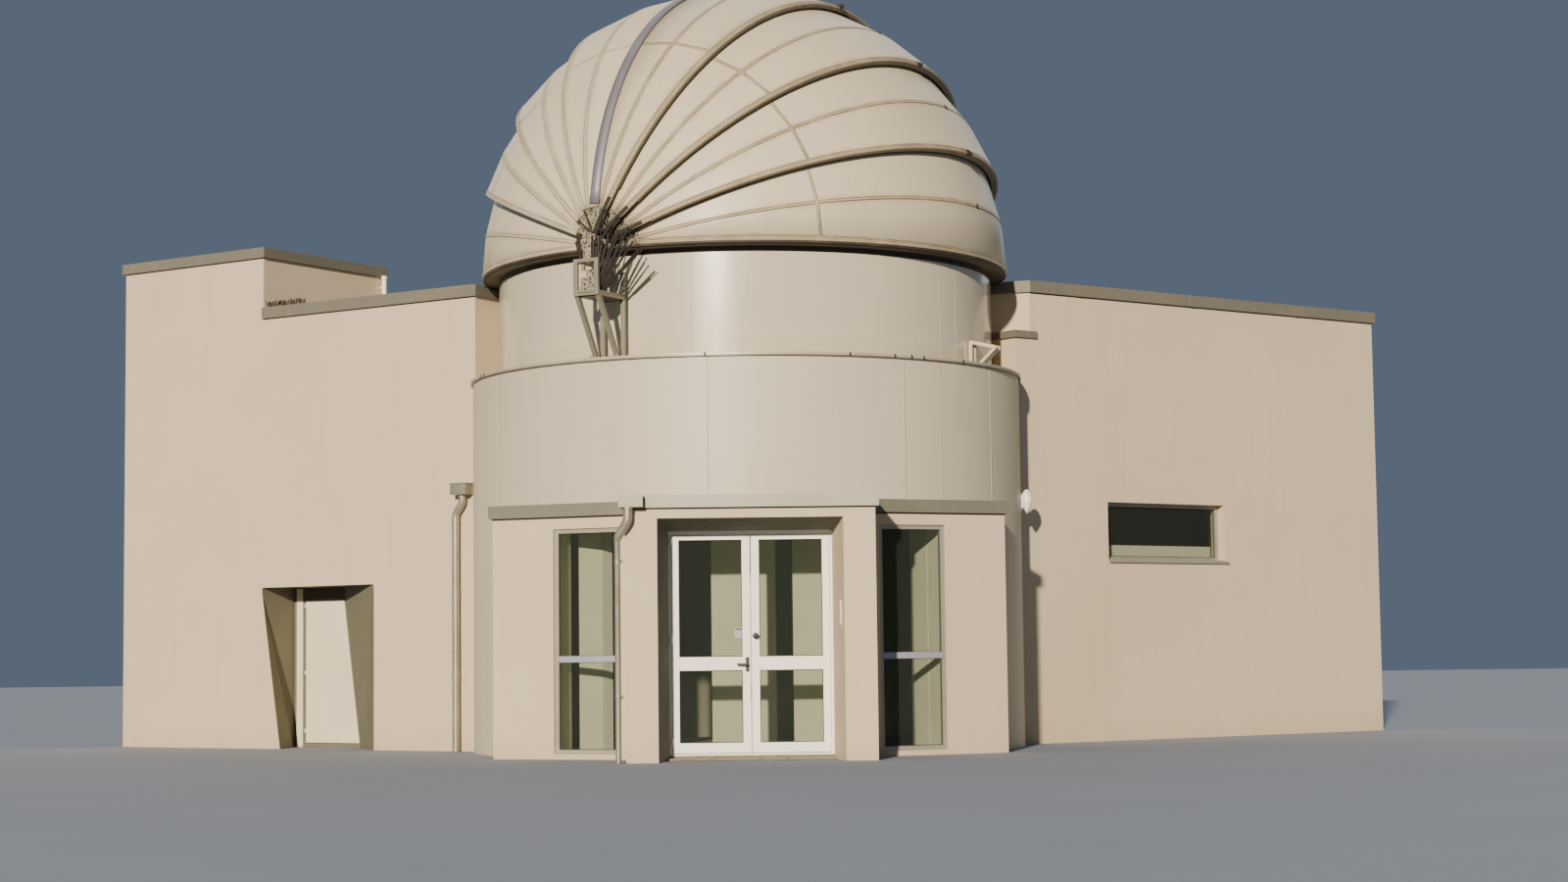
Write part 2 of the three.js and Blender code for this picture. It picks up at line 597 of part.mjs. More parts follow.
// Lining of the side door recess and the leaf, whose latch edge leans with the reveal
const liningBack = RECESS_DEPTH + 90;
const sideLeaf = (grow, y0, y1) => {
  const shape = [[-SIDE_DOOR.hinge - grow, 62 - grow], [-SIDE_DOOR.latchBottom + grow, 62 - grow],
    [-SIDE_DOOR.latchTop + grow, SIDE_DOOR.head + grow], [-SIDE_DOOR.hinge - grow,
      SIDE_DOOR.head + grow]];
  return prism(shape, -y1, -y0).rotate([90, 0, 0]);
};
const SIDE_HINGES = [200, 973, 1868];
const SIDE_HINGE_LINE = -SIDE_DOOR.hinge - 6;
const lining = cut(block(-3950, -1460, WING_WALL + FIT, liningBack, 0, 2400), recess,
  sideLeaf(8, RECESS_DEPTH - 40, liningBack + 40));
const liningHinges = SIDE_HINGES.map((z) => hingeHalf(SIDE_HINGE_LINE, RECESS_DEPTH, z, -34, false));
left.add(named('side_door_lining', join(lining, ...liningHinges), 'reveal'));
const sideHinges = SIDE_HINGES.map((z) => hingeHalf(SIDE_HINGE_LINE, RECESS_DEPTH, z, 40, true));
left.add(named('side_door_leaf', join(sideLeaf(0, RECESS_DEPTH, RECESS_DEPTH + 45),
  ...sideHinges), 'whiteMetal'));

left.add(named('left_wing_floor', cut(block(-L + WING_WALL + FIT, 0, WING_WALL + FIT,
  WING_DEPTH - WING_WALL - FIT, 0, FLOOR_TOP), block(-3950 - FIT, -1460 + FIT, WING_WALL,
  liningBack + FIT, -10, 100), ...leftCuts), 'concrete'));

// Rainwater hopper and downpipe on the left wing beside the drum
const hopper = prism([[-275, -170], [-30, -170], [-30, -FIT], [-275, -FIT]], 3215, 3360);
const leftPipe = pipe([[-150, -75, 3225], [-150, -75, 3170], [-160, -75, 3130], [-250, -75, 3010],
  [-263, -75, 2960], [-263, -75, 2400], [-263, -75, 0]], 47, 18);
left.add(named('left_downpipe', join(hopper, leftPipe), 'zincPipe'));

// Porch downpipe, which swings round the corner of the left pier and narrows below the bend
const DOWN_X = -1462;
const DOWN_Y = -4222;
const bend = pipe([[-1342, -4293, OUTLET.bottom - FIT], [-1342, -4293, 2690], [-1362, -4280, 2630],
  [DOWN_X + 24, DOWN_Y - 12, 2500], [DOWN_X, DOWN_Y, 2440], [DOWN_X, DOWN_Y, 2380]], 50, 18);
const downTube = new THREE.CylinderGeometry(33, 33, 2382, 16);
downTube.rotateX(Math.PI / 2);
downTube.translate(DOWN_X, DOWN_Y, 2382 / 2);
const pipeClips = [700, 2190].map((z) => block(DOWN_X, -PORCH_HALF - FIT, DOWN_Y + 14, DOWN_Y + 40,
  z, z + 36));
building.add(named('porch_downpipe', join(bend, toSolid(downTube), ...pipeClips), 'zincPipe'));

// Right wing, with the corner above the step cut back to the drum
const right = turnedGroup(WING_START, 0, WING_ANGLE);
const rightCuts = drumTools(WING_START, 0, WING_ANGLE);
const R = WING_LENGTH.right;
const along = [-Math.sin(degrees(34)), Math.cos(degrees(34))];
const backOff = [along[1] * WING_WALL, -along[0] * WING_WALL];
const chamferAt = (s, inward) => [
  CHAMFER + along[0] * s + backOff[0] * inward,
  along[1] * s + backOff[1] * inward,
];
const meetS = (WING_WALL - chamferAt(0, 1)[1]) / along[1];
const upperPlan = [[CHAMFER, 0], [R, 0], [R, WING_WALL], chamferAt(meetS, 1), chamferAt(1100, 1),
  chamferAt(1100, 0)];
const frontRight = cut(join(
  prism(upperPlan, CHAMFER_BOTTOM, WING_WALL_TOP),
  block(0, R, 0, WING_WALL, 0, CHAMFER_BOTTOM + 0.01),
  block(0, WING_WALL, WING_WALL - 1, 1200, LEDGE_TOP + FIT, CHAMFER_BOTTOM + 0.01),
), block(SLOT.from, SLOT.to, -10, 300, SLOT.sill, SLOT.head), ...rightCuts);
right.add(named('right_wing_front_wall', frontRight, 'render'));
right.add(named('right_wing_rear_walls', cut(join(
  block(R - WING_WALL, R, WING_WALL + FIT, WING_DEPTH, 0, WING_WALL_TOP),
  block(0, R, WING_DEPTH - WING_WALL, WING_DEPTH, 0, WING_WALL_TOP),
), ...rightCuts), 'render'));
right.add(named('right_wing_floor', cut(block(0, R - WING_WALL - FIT, WING_WALL + FIT,
  WING_DEPTH - WING_WALL - FIT, 0, FLOOR_TOP), ...rightCuts), 'concrete'));
right.add(named('right_wing_roof', cut(prism([[CHAMFER - 21, -reach], [R + reach, -reach],
  [R + reach, WING_DEPTH + reach], [-reach, WING_DEPTH + reach], [-397, 890]],
WING_WALL_TOP, WING_TOP),
block(560, R - 290, 290, WING_DEPTH - 290, TRAY_LEVEL, 6000), ...rightCuts), 'coping'));
right.add(named('right_wing_step_cap', cut(prism([[-reach, -reach], [337, -reach], [337, -1],
  [CHAMFER - 2, -1], [-reach, 428]], CHAMFER_BOTTOM + FIT, CHAMFER_BOTTOM + 90), ...rightCuts),
'coping'));

// Slot window in the right wing
const slotOuter = block(SLOT.from + FIT, SLOT.to - FIT, 120, 185, SLOT.sill, SLOT.head - FIT);
const slotHole = block(SLOT.from + 50, SLOT.to - 50, 0, 300, SLOT.sill + 50, SLOT.head - 50);
const slotPocket = block(SLOT.from + 38, SLOT.to - 38, 146.5, 157.5, SLOT.sill + 38,
  SLOT.head - 38);
right.add(named('slot_window_frame', cut(slotOuter, slotHole, slotPocket), 'aluminium'));
right.add(named('slot_window_glass', block(SLOT.from + 39, SLOT.to - 39, 147, 157,
  SLOT.sill + 39, SLOT.head - 39), 'glass'));

export default building;
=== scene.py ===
import math
import random

import bmesh
import bpy
from mathutils import Matrix, Vector


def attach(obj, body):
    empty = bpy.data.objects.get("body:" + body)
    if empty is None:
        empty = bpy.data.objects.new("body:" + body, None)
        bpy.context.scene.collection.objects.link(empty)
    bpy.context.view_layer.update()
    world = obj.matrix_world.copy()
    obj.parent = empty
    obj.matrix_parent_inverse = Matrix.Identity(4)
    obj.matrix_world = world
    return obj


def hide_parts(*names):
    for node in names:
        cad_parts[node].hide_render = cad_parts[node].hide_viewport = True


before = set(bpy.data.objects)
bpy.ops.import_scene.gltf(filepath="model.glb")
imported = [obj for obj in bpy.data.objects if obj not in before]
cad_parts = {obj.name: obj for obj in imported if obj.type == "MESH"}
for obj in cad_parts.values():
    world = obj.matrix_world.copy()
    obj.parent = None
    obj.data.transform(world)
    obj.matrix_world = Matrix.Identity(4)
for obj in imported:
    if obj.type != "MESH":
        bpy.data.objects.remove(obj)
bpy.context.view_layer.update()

# Rendered walls
# The wings, the tower, the porch and the two window bays are masonry under a smooth
# mineral render, floated by hand, so it is a little cloudy and has faint runs of rain.


def linear(red, green, blue):
    """A colour as a screen shows it, each part up to 255, in the terms of the shader."""
    parts = [value / 255 for value in (red, green, blue)]
    return [*[p / 12.92 if p <= 0.04045 else ((p + 0.055) / 1.055) ** 2.4 for p in parts], 1.0]


def set_all(thing, settings):
    for setting, value in settings.items():
        setattr(thing, setting, value)
    return thing


class Finish:
    """A material being made up. Its patterns read the Object coordinates, in metres."""

    def __init__(self, name, colour, roughness, metal=0.0, gloss=0.5):
        self.material = bpy.data.materials.new(name)
        self.material.use_nodes = True
        self.tree = self.material.node_tree
        self.shader = self.tree.nodes["Principled BSDF"]
        self.shader.inputs["Base Color"].default_value = linear(*colour)
        self.shader.inputs["Roughness"].default_value = roughness
        self.shader.inputs["Metallic"].default_value = metal
        self.shader.inputs["Specular IOR Level"].default_value = gloss
        self.place = self.add("ShaderNodeTexCoord").outputs["Object"]

    def add(self, kind, feeds=(), **settings):
        """A node with its settings, and its inputs fed with numbers or other nodes' outputs."""
        node = set_all(self.tree.nodes.new(kind), settings)
        for socket, value in dict(feeds).items():
            self.feed(node.inputs[socket], value)
        return node

    def feed(self, socket, value):
        if isinstance(value, bpy.types.NodeSocket):
            self.tree.links.new(value, socket)
        else:
            socket.default_value = value

    def so_far(self, socket):
        return socket.links[0].from_socket if socket.links else socket.default_value

    def maths(self, operation, first, second=0.0):
        return self.add("ShaderNodeMath", {0: first, 1: second}, operation=operation).outputs[0]

    def times(self, value, factor):
        return self.maths("MULTIPLY", value, factor)

    def moved(self, move=(0, 0, 0), turn=(0, 0, 0), stretch=(1, 1, 1)):
        angles = [math.radians(angle) for angle in turn]
        feeds = {"Vector": self.place, "Location": move, "Rotation": angles, "Scale": stretch}
        return self.add("ShaderNodeMapping", feeds).outputs["Vector"]

    def height(self):
        return self.add("ShaderNodeSeparateXYZ", {0: self.place}).outputs["Z"]

    def noise(self, size, detail, place=None):
        """Noise with lumps about as large as size, in metres."""
        feeds = {"Vector": place or self.place, "Scale": 1 / size, "Detail": detail}
        return self.add("ShaderNodeTexNoise", feeds).outputs["Fac"]

    def runs(self, width, length):
        """Noise drawn out downwards, as rain leaves it."""
        return self.noise(width, 4, self.moved(stretch=(1, 1, width / length)))

    def spots(self, size, share):
        """1 in round spots about as large as size, over a share of the surface."""
        node = self.add("ShaderNodeTexVoronoi", {"Vector": self.place, "Scale": 1 / size})
        return self.ramp(node.outputs["Distance"], share, share * 0.6)

    def ramp(self, value, low, high, share=1.0):
        """0 where a value is at low and a share where it is at high, with a soft rise."""
        feeds = {0: value, 1: low, 2: high, 3: 0, 4: share}
        return self.add("ShaderNodeMapRange", feeds, interpolation_type="SMOOTHSTEP").outputs[0]

    def tint(self, amount, colour):
        """Lays a colour over what is there, as strongly as amount says."""
        base = self.shader.inputs["Base Color"]
        feeds = {"Factor": amount, 6: self.so_far(base), 7: linear(*colour)}
        self.feed(base, self.add("ShaderNodeMix", feeds, data_type="RGBA").outputs[2])

    def roughen(self, amount, change):
        rough = self.shader.inputs["Roughness"]
        node = self.add("ShaderNodeMath", {0: amount, 1: change, 2: self.so_far(rough)},
                        operation="MULTIPLY_ADD", use_clamp=True)
        self.feed(rough, node.outputs[0])

    def clouds(self, size, detail, low, high, share, colour):
        """Tints by noise, from nothing where it is at low to a share where it is at high."""
        self.tint(self.ramp(self.noise(size, detail), low, high, share), colour)

    def streaks(self, width, length, low, high, share, colour):
        """Tints in the same way in runs, as rain leaves them."""
        self.tint(self.ramp(self.runs(width, length), low, high, share), colour)

    def mottle(self, size, detail, change):
        """Makes the surface rougher in places."""
        self.roughen(self.noise(size, detail), change)

    def grain(self, size, detail, depth):
        """Raises and sinks the surface by a depth in metres."""
        normal = self.shader.inputs["Normal"]
        feeds = {"Distance": depth, "Height": self.noise(size, detail)}
        if normal.links:
            feeds["Normal"] = self.so_far(normal)
        self.feed(normal, self.add("ShaderNodeBump", feeds).outputs[0])


render = Finish("mineral_render", (206, 187, 158), 0.88, gloss=0.2)
render.clouds(2.6, 2, 0.4, 0.7, 0.5, (199, 178, 148))
render.clouds(0.45, 5, 0.5, 0.75, 0.35, (213, 195, 166))
render.streaks(0.07, 2.4, 0.56, 0.8, 0.3, (182, 163, 133))
render.streaks(0.02, 0.9, 0.62, 0.85, 0.2, (171, 153, 124))
splash = render.maths("ADD", render.height(), render.times(render.noise(0.3, 5), 0.5))
render.tint(render.ramp(splash, 0.62, 0.2, 0.3), (177, 155, 123))
render.mottle(0.3, 4, 0.08)
render.grain(0.5, 2, 0.004)
render.grain(0.012, 4, 0.0009)


def finish_nodes(finish, *nodes):
    for node in nodes:
        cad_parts[node].material_slots[0].material = finish.material


finish_nodes(render, "porch_right_pier", "tower_back_walls")

# Side door recess
# The reveals of the recess lean in towards the door and are painted olive brown, and the
# paint stops in a clean line at the face of the wall.
WING_START = 3.42
WING_TURN = 34.5
RECESS = ((-3.75, 0.001, 0.01), (-1.6, 0.249, 2.2))


def standing(x, y, turn):
    """A frame on the ground, with its X along a wall that is turned so many degrees."""
    return Matrix.Translation((x, y, 0)) @ Matrix.Rotation(math.radians(turn), 4, "Z")


def bay_frame(side):
    """The frame of a window bay, -1 for the left and 1 for the right."""
    return standing(1.38 * side, -3.24, 25 * side)


def in_second(shape, chosen=None):
    """Gives all faces, or those that are chosen, the second of the piece's finishes."""
    for face in shape.faces:
        if chosen is None or chosen(face.calc_center_median(), face.normal):
            face.material_index = 1
    return shape


def merged(node):
    """A copy of a CAD mesh with its loose triangles joined up and its flat faces made whole."""
    shape = bmesh.new()
    shape.from_mesh(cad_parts[node].data)
    bmesh.ops.remove_doubles(shape, verts=shape.verts, dist=0.00005)
    bmesh.ops.dissolve_limit(shape, angle_limit=math.radians(0.3), verts=shape.verts,
                             edges=shape.edges, delimit={"NORMAL"})
    return shape


def placed(name, data):
    """A new object in the scene."""
    made = bpy.data.objects.new(name, data)
    bpy.context.scene.collection.objects.link(made)
    return made


def piece(name, shape, finishes, body="building", slot=None, smooth=None, bevel=None, wall=None):
    """Closes a shape into an object that rides on a body."""
    if smooth is not None:
        for face in shape.faces:
            face.smooth = True
        for edge in shape.edges:
            edge.smooth = edge.calc_face_angle(0) < math.radians(smooth)
    mesh = bpy.data.meshes.new(name)
    shape.to_mesh(mesh)
    shape.free()
    for finish in finishes if isinstance(finishes, list) else [finishes]:
        mesh.materials.append(finish.material)
    made = placed(name, mesh)
    if wall:
        set_all(made.modifiers.new("wall", "SOLIDIFY"),
                {"thickness": wall, "offset": -1, "use_even_offset": True})
    if bevel:
        set_all(made.modifiers.new("edges", "BEVEL"),
                {"width": bevel, "segments": 2, "limit_method": "ANGLE",
                 "angle_limit": math.radians(40), "harden_normals": smooth is not None})
    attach(made, body)
    return made


def dressed(name, node, finishes, shape=None, chosen=None, **settings):
    """A piece in place of a node of the CAD file, in the node's shape unless one is given."""
    shape = merged(node) if shape is None else shape
    if chosen:
        in_second(shape, chosen)
    made = piece(name, shape, finishes, **settings)
    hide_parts(node)
    return made


def within(place, low, high):
    return all(least < value < most for least, value, most in zip(low, place, high))


LEFT_WING = standing(-WING_START, 0, -WING_TURN)
RIGHT_WING = standing(WING_START, 0, WING_TURN)
to_left_wing = LEFT_WING.inverted()


def in_recess(centre, normal):
    along_wall = abs((to_left_wing.to_3x3() @ normal).y) < 0.9
    return along_wall and within(to_left_wing @ centre, *RECESS)


reveal_paint = Finish("olive_reveal_paint", (112, 108, 88), 0.75, gloss=0.3)
reveal_paint.clouds(0.5, 3, 0.35, 0.7, 0.5, (102, 98, 80))
reveal_paint.streaks(0.05, 0.8, 0.55, 0.8, 0.3, (92, 86, 68))
reveal_paint.grain(0.02, 4, 0.0006)
for node in ("left_wing_front_wall_near", "left_wing_wall_over_side_door",
             "left_wing_front_wall_far"):
    dressed(node + "_faced", node, [render, reveal_paint], chosen=in_recess, slot="render")
finish_nodes(reveal_paint, "side_door_lining")

# Porch head and left pier
# They are rendered like the walls. The underside of the head and the reveal that the sun
# doesn't reach are painted a grey olive, as painted shade.
# Painted shade: a grey olive render for the faces out of the sun.
painted_shade_render = Finish("painted_shade_render", (116, 116, 103), 0.9, gloss=0.2)
painted_shade_render.clouds(0.35, 4, 0.4, 0.7, 0.5, (103, 102, 88))
painted_shade_render.streaks(0.04, 0.6, 0.58, 0.8, 0.35, (134, 131, 114))
painted_shade_render.grain(0.012, 4, 0.0009)


def out_of_sun(centre, normal):
    under = normal.z < -0.9 and centre.z > 2
    return under or (normal.x > 0.8 and centre.x > -1.2)


for node in ("porch_head", "porch_left_pier"):
    dressed(node + "_faced", node, [render, painted_shade_render], chosen=out_of_sun, slot="render")

# Drum cladding
# The round wall is clad in tall off-white sheets with a satin face, and thin battens cover
# the joints. Rain from the joints of the ledge leaves faint runs down them.
DRUM_RADIUS = 3.43
DRUM_TOP = 4.55
BATTENS_OVER_BAYS = (-59.3, -7.8, 31.8, 41.0, 58.0)
BATTENS_TO_GROUND = (98, 131, 164, 197, 230, 263)


def rounded(made):
    """Gives faces that stand about the drum's axis the normals of a true cylinder."""
    mesh = made.data
    normals = [Vector(corner.vector) for corner in mesh.corner_normals]
    for face in mesh.polygons:
        centre = Vector((face.center.x, face.center.y, 0)).normalized()
        side = face.normal.dot(centre)
        if abs(face.normal.z) < 0.3 and abs(side) > 0.996:
            for index in face.loop_indices:
                place = mesh.vertices[mesh.loops[index].vertex_index].co
                out = Vector((place.x, place.y, 0)).normalized()
                normals[index] = out * math.copysign(1, side)
    mesh.normals_split_custom_set([tuple(normal) for normal in normals])


cladding = Finish("satin_cladding_sheet", (200, 188, 163), 0.42)
cladding.clouds(1.8, 2, 0.4, 0.7, 0.5, (193, 178, 152))
cladding.streaks(0.12, 5, 0.5, 0.75, 0.45, (206, 192, 167))
cladding.streaks(0.035, 3, 0.58, 0.82, 0.4, (179, 164, 136))
cladding.roughen(cladding.runs(0.2, 3), 0.1)
cladding.grain(0.9, 1, 0.003)
plaster = Finish("green_plaster", (208, 211, 174), 0.8, gloss=0.2)
plaster.clouds(0.8, 3, 0.4, 0.7, 0.4, (196, 199, 160))
plaster.grain(0.03, 3, 0.0008)


def inside_drum(centre, normal):
    out = Vector((centre.x, centre.y, 0))
    return (out.length < DRUM_RADIUS - 0.03 and abs(normal.z) < 0.95
            and normal.dot(out.normalized()) < 0.5)


for node in ("drum_wall_over_entrance", "drum_wall_front_left", "drum_wall_front_right",
             "drum_wall_back_left", "drum_wall_back_right"):
    rounded(dressed(node + "_clad", node, [cladding, plaster], chosen=inside_drum,
                    slot="cladding", smooth=12))


def block(shape, low, high, place=None, bevel=0.0, segments=2):
    """Adds a box between two corners to a shape, with its edges eased if bevel is above 0."""
    size = Vector(high) - Vector(low)
    middle = (Vector(high) + Vector(low)) / 2
    matrix = Matrix.Translation(middle) @ Matrix.Diagonal((*size, 1))
    verts = bmesh.ops.create_cube(shape, size=1, matrix=matrix)["verts"]
    if bevel:
        edges = list({edge for vert in verts for edge in vert.link_edges})
        done = bmesh.ops.bevel(shape, geom=edges, offset=bevel, offset_type="OFFSET",
                               segments=segments, profile=0.5, affect="EDGES",
                               clamp_overlap=True, material=-1)
        verts = list({vert for face in done["faces"] for vert in face.verts} | {
            vert for vert in verts if vert.is_valid})
    if place:
        bmesh.ops.transform(shape, matrix=place, verts=verts)


def round_place(azimuth, radius):
    """A frame on the drum: X along the wall, -Y out of it, at an azimuth from the front."""
    return Matrix.Rotation(math.radians(azimuth), 4, "Z") @ Matrix.Translation((0, -radius, 0))


def blocks_round(shape, azimuths, radius, low, high, bevel=0.001):
    """Adds the same small block at each azimuth round the drum."""
    for azimuth in azimuths:
        block(shape, low, high, round_place(azimuth, radius), bevel, 1)


battens = bmesh.new()
for azimuths, foot in ((BATTENS_OVER_BAYS, 2.94), (BATTENS_TO_GROUND, 0.02)):
    blocks_round(battens, azimuths, DRUM_RADIUS, (-0.007, -0.0025, foot), (0.007, 0.004, DRUM_TOP))
batten_paint = Finish("joint_batten", (184, 168, 141), 0.5)
batten_paint.streaks(0.02, 0.8, 0.45, 0.7, 0.6, (158, 142, 113))
batten_paint.grain(0.01, 3, 0.0003)
piece("drum_joint_battens", battens, batten_paint, slot="cladding")

# Ledge capping
# Folded metal sheet caps the round wall and runs in under the upper wall. Its front edge
# is hemmed, and small clamps hold the joints, from which rust has run down.
LEDGE_RADIUS = 3.46
LEDGE_JOINTS = (-69.4, -67.0, -8.1, 19.8, 29.5, 33.4, 36.4, 47.5, 96, 127, 158, 189, 220, 251)
HEMMED = ((2.9, 4.6), (3.449, 4.6), (LEDGE_RADIUS, 4.597), (LEDGE_RADIUS, 4.586),
          (3.4555, 4.583), (3.4555, 4.574), (LEDGE_RADIUS, 4.571), (LEDGE_RADIUS, 4.557),
          (3.457, 4.555), (2.9, 4.555))


def spun(outline, start=0.0, sweep=360.0, steps=144):
    """Turns an outline of (radius, height) about the drum's axis, from an azimuth."""
    shape = bmesh.new()
    begin = math.radians(start - 90)
    points = [shape.verts.new((r * math.cos(begin), r * math.sin(begin), z)) for r, z in outline]
    edges = [shape.edges.new(pair) for pair in zip(points, points[1:] + points[:1])]
    whole = sweep == 360
    bmesh.ops.spin(shape, geom=points + edges, cent=(0, 0, 0), axis=(0, 0, 1),
                   angle=math.radians(sweep), steps=steps, use_merge=whole)
    if not whole:
        bmesh.ops.holes_fill(shape, edges=[e for e in shape.edges if e.is_boundary])
    bmesh.ops.recalc_face_normals(shape, faces=shape.faces)
    return shape


ledge_sheet = Finish("ledge_sheet", (196, 186, 166), 0.4, metal=0.2)
ledge_sheet.clouds(0.5, 5, 0.45, 0.7, 0.6, (168, 155, 132))
ledge_sheet.clouds(0.05, 4, 0.6, 0.8, 0.5, (128, 108, 84))
# The lowest part of the hemmed edge is painted darker, as painted shade along its underside.
ledge_sheet.tint(ledge_sheet.ramp(ledge_sheet.height(), 4.573, 4.567, 0.8), (98, 84, 62))
ledge_sheet.grain(0.4, 2, 0.002)
dressed("ledge_capping", "drum_ledge", ledge_sheet, spun(HEMMED), slot="coping",
        smooth=30)
dark_steel = Finish("dark_rusty_steel", (42, 35, 29), 0.62, metal=0.3)
dark_steel.clouds(0.05, 5, 0.5, 0.7, 0.6, (78, 58, 40))
dark_steel.clouds(0.16, 3, 0.55, 0.7, 0.7, (30, 26, 24))
dark_steel.grain(0.008, 4, 0.0012)
clamps = bmesh.new()
for low, high in (((-0.008, -0.003, 4.556), (0.008, 0.03, 4.603)),
                  ((-0.012, -0.006, 4.566), (0.012, 0.0, 4.576))):
    blocks_round(clamps, LEDGE_JOINTS, LEDGE_RADIUS, low, high)
piece("ledge_joint_clamps", clamps, dark_steel, slot="galvanised")

# Upper drum
# The same sheets stand above the ledge in a glossier coat, and the lowest hand's breadth
# is darkened by what splashes up off the ledge.
UPPER_RADIUS = 3.1
glossy_cladding = Finish("glossy_cladding_sheet", (203, 191, 165), 0.16, gloss=1.0)
glossy_cladding.clouds(1.2, 2, 0.4, 0.7, 0.4, (197, 184, 157))
glossy_cladding.streaks(0.05, 2, 0.55, 0.8, 0.35, (188, 174, 146))
uneven = glossy_cladding.times(glossy_cladding.noise(0.2, 3), 0.06)
low_band = glossy_cladding.maths("ADD", glossy_cladding.height(), uneven)
glossy_cladding.tint(glossy_cladding.ramp(low_band, 4.86, 4.8, 0.3), (186, 167, 136))
glossy_cladding.tint(glossy_cladding.ramp(low_band, 4.7, 4.62, 0.5), (165, 145, 113))
glossy_cladding.roughen(glossy_cladding.runs(0.1, 1.5), 0.05)
glossy_cladding.grain(0.8, 1, 0.0025)
for node in ("upper_drum_front", "upper_drum_back"):
    rounded(dressed(node + "_clad", node, glossy_cladding, slot="cladding", smooth=12))
upper_battens = bmesh.new()
blocks_round(upper_battens, (-68.8, -12.0, 48, 54, 110, 165, 220), UPPER_RADIUS,
             (-0.004, -0.0015, 4.605), (0.004, 0.003, 5.795), 0.0006)
piece("upper_drum_joints", upper_battens, batten_paint, slot="cladding")

# Ring under the dome
# A rolled steel ring with a rounded drip lip along its outer edge carries the base shells.
# Both are painted dark, as painted shade under the shells.
LIP = ((3.262, 5.884), (3.288, 5.871), (3.296, 5.874), (3.3, 5.882), (3.3, 5.899), (3.262, 5.899))
RING = ((2.94, 5.8), (3.08, 5.8), (3.08, 5.86), (3.262, 5.862), (3.27, 5.872), (3.27, 5.8985),
        (2.94, 5.8985))
# Painted shade: the dark colour of the ring and lip stands for the shade under the shells.
ring_painted_shade = Finish("ring_steel_painted_shade", (66, 58, 45), 0.6, metal=0.2)
ring_painted_shade.clouds(0.3, 5, 0.45, 0.7, 0.7, (92, 82, 63))
ring_painted_shade.clouds(0.04, 4, 0.55, 0.8, 0.5, (48, 40, 30))
ring_painted_shade.grain(0.02, 4, 0.001)
piece("ring_lip", spun(LIP), ring_painted_shade, slot="galvanised", smooth=40)
dressed("dome_ring", "dome_base_ring", ring_painted_shade, spun(RING), slot="galvanised",
        smooth=30)

# Dome shells
# Each shell is a moulded sheet of gores, flat across and curved along, with a kink at each
# seam. It laps over the one below, and turns with it on one level axis through both poles.
PIVOT_HEIGHT = 5.9
DOME_TURN = 29
GORE = 11.25
TIP = 6.8
SHELL_THICKNESS = 0.028
RADII = {"top": 3.626, "upper": 3.535, "lower": 3.43, "base": 3.31}
SPANS = {"top": (66, 89.85), "upper": (44, 70), "lower": (22, 47.5), "base": (0, 25)}
BELOW = {"top": "upper", "upper": "lower", "lower": "base"}
SHELLS = [(side, name, RADII[name], *SPANS[name]) for side in ("right", "left") for name in RADII]
DOME = Matrix.Translation((0, 0, PIVOT_HEIGHT)) @ standing(0, 0, -DOME_TURN)
MIRROR = Matrix.Scale(-1, 4, (1, 0, 0))


def gather(shape, added):
    """Moves the faces of one shape into another."""
    mesh = bpy.data.meshes.new("gathered")
    added.to_mesh(mesh)
    added.free()
    shape.from_mesh(mesh)
    bpy.data.meshes.remove(mesh)
    return shape


def gores(radius, low, high, first=TIP, last=180 - TIP, steps=52):
    """An open sheet between two tilts, each given as (tilt, metres beside it)."""
    shape = bmesh.new()
    begin = math.floor((low[0] - 0.1) / GORE) * GORE - GORE
    count = math.ceil((high[0] + 0.1 - begin) / GORE) + 1
    angle = math.radians(first)
    tip = shape.verts.new((radius * math.sin(angle), -radius * math.cos(angle), 0))
    bmesh.ops.spin(shape, geom=[tip], cent=(0, 0, 0), axis=(0, 0, 1),
                   angle=math.radians(last - first), steps=steps)
    bmesh.ops.rotate(shape, verts=shape.verts, cent=(0, 0, 0),
                     matrix=Matrix.Rotation(-math.radians(begin), 3, "Y"))
    bmesh.ops.spin(shape, geom=shape.verts[:] + shape.edges[:], cent=(0, 0, 0),
                   axis=(0, -1, 0), angle=math.radians(GORE * count), steps=count)
    for (tilt, beside), inner in ((low, True), (high, False)):
        angle = math.radians(tilt)
        normal = Vector((-math.sin(angle), 0, math.cos(angle)))
        geometry = shape.verts[:] + shape.edges[:] + shape.faces[:]
        bmesh.ops.bisect_plane(shape, geom=geometry, dist=0.00001, plane_co=normal * beside,
                               plane_no=normal, clear_inner=inner, clear_outer=not inner)
    turned = [face for face in shape.faces if face.normal.dot(face.calc_center_median()) < 0]
    bmesh.ops.reverse_faces(shape, faces=turned)
    return shape


def into_dome(shape, side):
    """Turns a shape drawn on the right half into the building's frame, on either half."""
    matrix = DOME @ MIRROR if side == "left" else DOME
    bmesh.ops.transform(shape, matrix=matrix, verts=shape.verts)
    if side == "left":
        bmesh.ops.reverse_faces(shape, faces=shape.faces)
    return shape


def shell_piece(side, name, ending, shape, finishes, slot="shell", **settings):
    """A piece on one shell of either half, from a shape drawn on the right half."""
    body = "building" if name == "base" else f"{side}_{name}_shell"
    return piece(f"{side}_{name}_{ending}", into_dome(shape, side), finishes, body, slot,
                 **settings)


